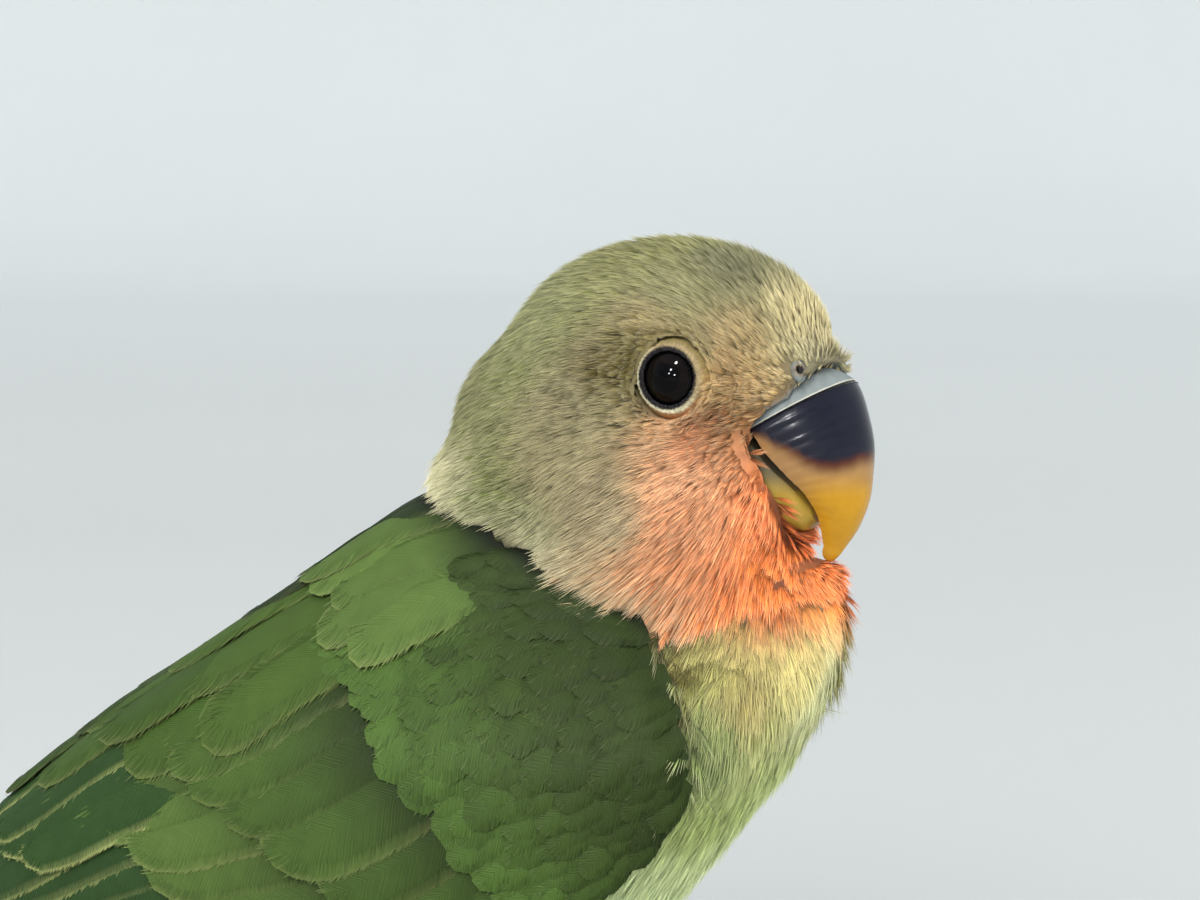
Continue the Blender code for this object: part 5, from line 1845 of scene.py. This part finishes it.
FLOOR_Z = -77.0
FOOT_X = -9.0
FOOT_Y = 9.5
ANKLE = (-18.5, 9.3, -65.5)
TARSUS_RADIUS = 1.55
SOLE_FLAT = 0.35
TOES = {
    "inner_front": (-14, 9.0, 1.55),
    "outer_front": (12, 13.0, 1.7),
    "outer_rear": (152, 11.5, 1.6),
    "inner_rear": (204, 6.5, 1.5),
}
TOE_SWELL = ((0.0, 0.25, 0.5, 0.75, 1.0), (1.05, 0.94, 1.0, 0.84, 0.62))
CLAW_LENGTH = 3.8
CLAW_RADIUS = 0.85
CLAW_RISE = ((0.0, 0.35, 0.7, 1.0), (0.0, 0.32, 0.14, -0.42))
TARSUS_SWELL = ((0.0, 0.15, 0.5, 0.88, 1.0), (1.15, 1.12, 0.95, 1.08, 1.2))
TOE_STEPS = 60
TOE_AROUND = 24
TARSUS_STEPS = 70
TARSUS_AROUND = 28
CLAW_STEPS = 24
CLAW_AROUND = 16
SCUTE_LENGTH = 1.15
SCUTE_HEIGHT = 0.055
SCUTE_SLOPE = 0.85
PAD_HEIGHT = 0.045


def tube_rings(line, radii, around):
    """Rings square to a line of points, with no twist."""
    line = np.asarray(line, float)
    way = unit(np.gradient(line, axis=0))
    up = np.array((0.0, 0.0, 1.0))
    if abs(way[0] @ up) > 0.8:
        up = np.array((1.0, 0.0, 0.0))
    aside = unit(np.cross(way, up))
    over = np.cross(aside, way)
    turn = np.linspace(0, 2 * math.pi, around, endpoint=False)
    radii = np.asarray(radii, float)
    if radii.ndim == 1:
        radii = radii[:, None] * np.ones(around)
    ring = np.cos(turn)[None, :, None] * aside[:, None, :] + np.sin(turn)[None, :, None] * over[:, None, :]
    return line[:, None, :] + ring * radii[..., None]


def scuted(radii, reach, around):
    """Radii with overlapping scutes over the top of a toe or leg, and pads beneath."""
    turn = np.linspace(0, 2 * math.pi, around, endpoint=False)
    top = ramp(np.sin(turn), (-0.1, 0.5))
    step = (reach / SCUTE_LENGTH) % 1.0
    rising = SCUTE_HEIGHT * step / SCUTE_SLOPE
    plate = np.where(step < SCUTE_SLOPE, rising, SCUTE_HEIGHT * (1 - step) / (1 - SCUTE_SLOPE))
    pads = PAD_HEIGHT * np.sin(reach * 5.3)[:, None] * np.sin(turn * 7)[None, :]
    return radii[:, None] * (1 + plate[:, None] * top[None, :] + pads * (1 - top)[None, :])


def toe_piece(name, hub, way, length, radius, stands_for):
    """A scaly toe that lies on the floor on a small flat."""
    share = np.linspace(0, 1, TOE_STEPS)
    radii = radius * smooth(*TOE_SWELL, share)
    line = hub + way * (length * share)[:, None]
    line[:, 2] += radii - SOLE_FLAT
    rings = tube_rings(line, scuted(radii, length * share, TOE_AROUND), TOE_AROUND)
    rings[..., 2] = np.maximum(rings[..., 2], FLOOR_Z)
    loft(name, rings, MATERIAL["leg"], stands_for)


def claw_piece(name, start, way, height, stands_for):
    """A curved claw that thins to its point, just above the floor."""
    share = np.linspace(0, 1, CLAW_STEPS)
    thin = CLAW_RADIUS * (1 - 0.9 * share**1.2)
    line = start + way * (CLAW_LENGTH * share)[:, None]
    line[:, 2] += np.maximum(height + smooth(*CLAW_RISE, share), thin * 0.94)
    loft(name, tube_rings(line, thin, CLAW_AROUND), MATERIAL["claw"], stands_for)


def foot_pieces(side, word):
    """Four toes with their claws, and the bare leg above them."""
    hub = np.array((FOOT_X, side * FOOT_Y, FLOOR_Z))
    for k, (toe, (turn, length, radius)) in enumerate(TOES.items()):
        angle = math.radians(turn)
        way = np.array((math.cos(angle), side * math.sin(angle), 0.0))
        stands_for = f"foot_{word}" if k == 0 else None
        toe_piece(f"toe_{toe}_{word}", hub, way, length, radius, stands_for)
        height = radius * TOE_SWELL[1][-1] - SOLE_FLAT + 0.15
        claw_piece(f"nail_{toe}_{word}", hub + way * (length + 0.15), way, height, f"claw_{toe}_{word}")
    share = np.linspace(0, 1, TARSUS_STEPS)
    ankle = np.array((ANKLE[0], side * ANKLE[1], ANKLE[2]))
    end = np.array((FOOT_X - 0.6, side * FOOT_Y, FLOOR_Z + 2.0))
    line = ankle + (end - ankle) * share[:, None]
    reach = share * np.linalg.norm(end - ankle)
    radii = TARSUS_RADIUS * smooth(*TARSUS_SWELL, share)
    rings = tube_rings(line, scuted(radii, reach, TARSUS_AROUND), TARSUS_AROUND)
    loft(f"shank_{word}", rings, MATERIAL["leg"], f"tarsus_{word}")


def two_tones(material, factor, low, high, high_at=1.0):
    """A colour ramp between two colours, driven by a factor from 0 to 1."""
    tones = add_node(material, "ShaderNodeValToRGB")
    tones.color_ramp.elements[0].color = (*low, 1)
    tones.color_ramp.elements[1].color = (*high, 1)
    tones.color_ramp.elements[1].position = high_at
    material.node_tree.links.new(factor, tones.inputs["Fac"])
    return tones.outputs["Color"]


LEG_DARK = linear(112, 104, 98)
LEG_LIGHT = linear(168, 158, 150)


def leg_material():
    """Small scales, dark in the gaps between them."""
    material, shader = new_material("leg", 0.6, Specular_IOR_Level=0.35)
    links = material.node_tree.links
    place = add_node(material, "ShaderNodeTexCoord")
    cells = add_node(material, "ShaderNodeTexVoronoi", Scale=1900.0)
    cells.feature = "DISTANCE_TO_EDGE"
    links.new(place.outputs["Object"], cells.inputs["Vector"])
    colour = two_tones(material, cells.outputs["Distance"], LEG_DARK, LEG_LIGHT, 0.35)
    links.new(colour, shader.inputs["Base Color"])
    bump(material, shader, cells.outputs["Distance"], 0.6, 0.12)
    return material


def plain_material(name, colour, roughness):
    """A material of one hue with fine grain in its colour and surface."""
    material, shader = new_material(name, roughness)
    grain = noise(material, 1200, 4.0).outputs["Fac"]
    tones = two_tones(material, grain, colour * 0.75, np.minimum(colour * 1.25, 1))
    material.node_tree.links.new(tones, shader.inputs["Base Color"])
    bump(material, shader, noise(material, 3200).outputs["Fac"], 0.3, 0.04)
    return material


# Floor, light and camera

FLAT_RADIUS = 2.6
WALL_RADIUS = 4.2
WALL_HEIGHT = 4.0
FLOOR_AROUND = 96
FLOOR_RINGS = (0.0001, 0.15, 0.3, 0.6, FLAT_RADIUS)
# Floor tints: darker near the bird as painted shade against the lamps' light, lighter far off.
FLOOR_NEAR = np.array((0.46, 0.475, 0.47))
FLOOR_FAR = np.array((0.74, 0.76, 0.755))


def floor():
    """A plain pale floor that curves up into a round backdrop far from the bird."""
    radii = list(FLOOR_RINGS)
    heights = [0.0] * len(radii)
    for turn in np.linspace(0, math.pi / 2, 13)[1:]:
        radii.append(FLAT_RADIUS + (WALL_RADIUS - FLAT_RADIUS) * math.sin(turn))
        heights.append((WALL_RADIUS - FLAT_RADIUS) * (1 - math.cos(turn)))
    radii.append(WALL_RADIUS)
    heights.append(WALL_HEIGHT)
    turn = np.linspace(0, 2 * math.pi, FLOOR_AROUND, endpoint=False)
    level = np.outer(heights, np.ones(FLOOR_AROUND))
    rings = np.stack([np.outer(radii, np.cos(turn)), np.outer(radii, np.sin(turn)), level], axis=-1)
    faces = grid_faces(np.arange(level.size).reshape(level.shape), closed=True)
    mesh = mesh_from_arrays("floor", rings.reshape(-1, 3), faces)
    mesh.shade_smooth()
    mesh.materials.append(grained("floor", 0.85, (1.5, 2.0), (0.96, 1.04), Specular_IOR_Level=0.1))
    # Painted shade that evens out the lamps' light: the floor darker close to the bird and lighter far off.
    far = ramp(np.repeat(np.array(radii), FLOOR_AROUND), (0.3, WALL_RADIUS * 0.8))[:, None]
    set_tint(mesh, mix(FLOOR_NEAR, FLOOR_FAR, far))
    link(bpy.data.objects.new("floor", mesh))


def area_light(name, place, size, power, colour=(1, 1, 1), glint=False):
    """A round lamp turned to the bird: it lights the surfaces, or only glints on them."""
    data = bpy.data.lights.new(name, "AREA")
    data.shape = "DISK"
    data.size = size
    data.energy = power
    data.color = colour
    lamp = link(bpy.data.objects.new(name, data))
    lamp.location = place
    lamp.rotation_euler = facing_bird(place)
    lamp.visible_glossy = glint
    lamp.visible_diffuse = not glint


def around_bird(azimuth, elevation, distance):
    """A place seen from the bird at an azimuth and elevation in degrees."""
    a = math.radians(azimuth)
    e = math.radians(elevation)
    way = Vector((math.sin(a) * math.cos(e), -math.cos(a) * math.cos(e), math.sin(e)))
    return Vector(BIRD) + way * distance


def facing_bird(place):
    """The turn of a lamp or camera that faces the bird from a place."""
    return (Vector(BIRD) - Vector(place)).to_track_quat("-Z", "Y").to_euler()


# Name, azimuth and elevation, size, power and colour of each lamp.
LAMPS = (
    ("key", (5, 30), 1.5, 70.0, (1.0, 0.985, 0.95)),
    ("fill", (92, 14), 1.6, 40.0, (0.96, 0.98, 1.0)),
    ("top", (170, 70), 1.5, 8.0, (1.0, 1.0, 1.0)),
)
LAMP_DISTANCE = 2.4
SKY = (0.92, 0.96, 1.0, 1)
# Azimuth, elevation and size of the small lamps that only glint.
GLINTS = ((7, 50, 0.145), (-5, 30, 0.12), (-9, 17, 0.09), (11, 11, 0.085))
GLINT_DISTANCE = 1.2
GLINT_POWER = 700


def light():
    """An even pale sky, three soft lamps, and the glints of the eye."""
    world = bpy.data.worlds.new("studio")
    bpy.context.scene.world = world
    world.use_nodes = True
    sky = world.node_tree.nodes["Background"]
    sky.inputs["Color"].default_value = SKY
    sky.inputs["Strength"].default_value = 1.0
    for name, way, size, power, colour in LAMPS:
        area_light(name, around_bird(*way, LAMP_DISTANCE), size, power, colour)
    for azimuth, elevation, size in GLINTS:
        place = around_bird(azimuth, elevation, GLINT_DISTANCE)
        area_light(f"glint_{azimuth}", place, size, GLINT_POWER * size**2, glint=True)


def camera():
    """The photo's view: its direction, and a distance that gives its perspective."""
    data = bpy.data.cameras.new("camera")
    data.sensor_width = SENSOR_WIDTH
    data.lens = SENSOR_WIDTH * VIEW_DISTANCE / VIEW_WIDTH
    data.clip_start = 0.01
    data.clip_end = 10.0
    eye = link(bpy.data.objects.new("camera", data))
    eye.location = around_bird(VIEW_AZIMUTH, VIEW_ELEVATION, VIEW_DISTANCE)
    eye.rotation_euler = facing_bird(eye.location)
    bpy.context.scene.camera = eye


MATERIAL = {
    "soft": feather_material("soft_feathers", 0.8, 500, 0.06),
    "firm": feather_material("firm_feathers", 0.7, 350, 0.0),
    "vane": vane_material(),
    "wing_base": feather_material("wing_down", 0.85, 500, 0.0),
    "leg": leg_material(),
    "cere": cere_material(),
    "claw": plain_material("claw", linear(62, 58, 56), 0.3),
}


def main():
    for old in list(bpy.data.objects):
        if old.name in ("Cube", "Light", "Camera"):
            bpy.data.objects.remove(old)
    bpy.context.scene.view_settings.view_transform = "Standard"
    hard_parts = tree_of(("cere", "bill_upper", "bill_lower"))
    skin = make_skin(hard_parts)
    body_coat(skin, hard_parts)
    for side, word in SIDES:
        wing_base(side, word)
        wing_coat(side, word)
        eye_piece(side, word)
        lid_piece(side, word)
        naris_piece(side, word)
        foot_pieces(side, word)
    tail_coat()
    bill()
    cere_piece()
    floor()
    light()
    camera()


main()
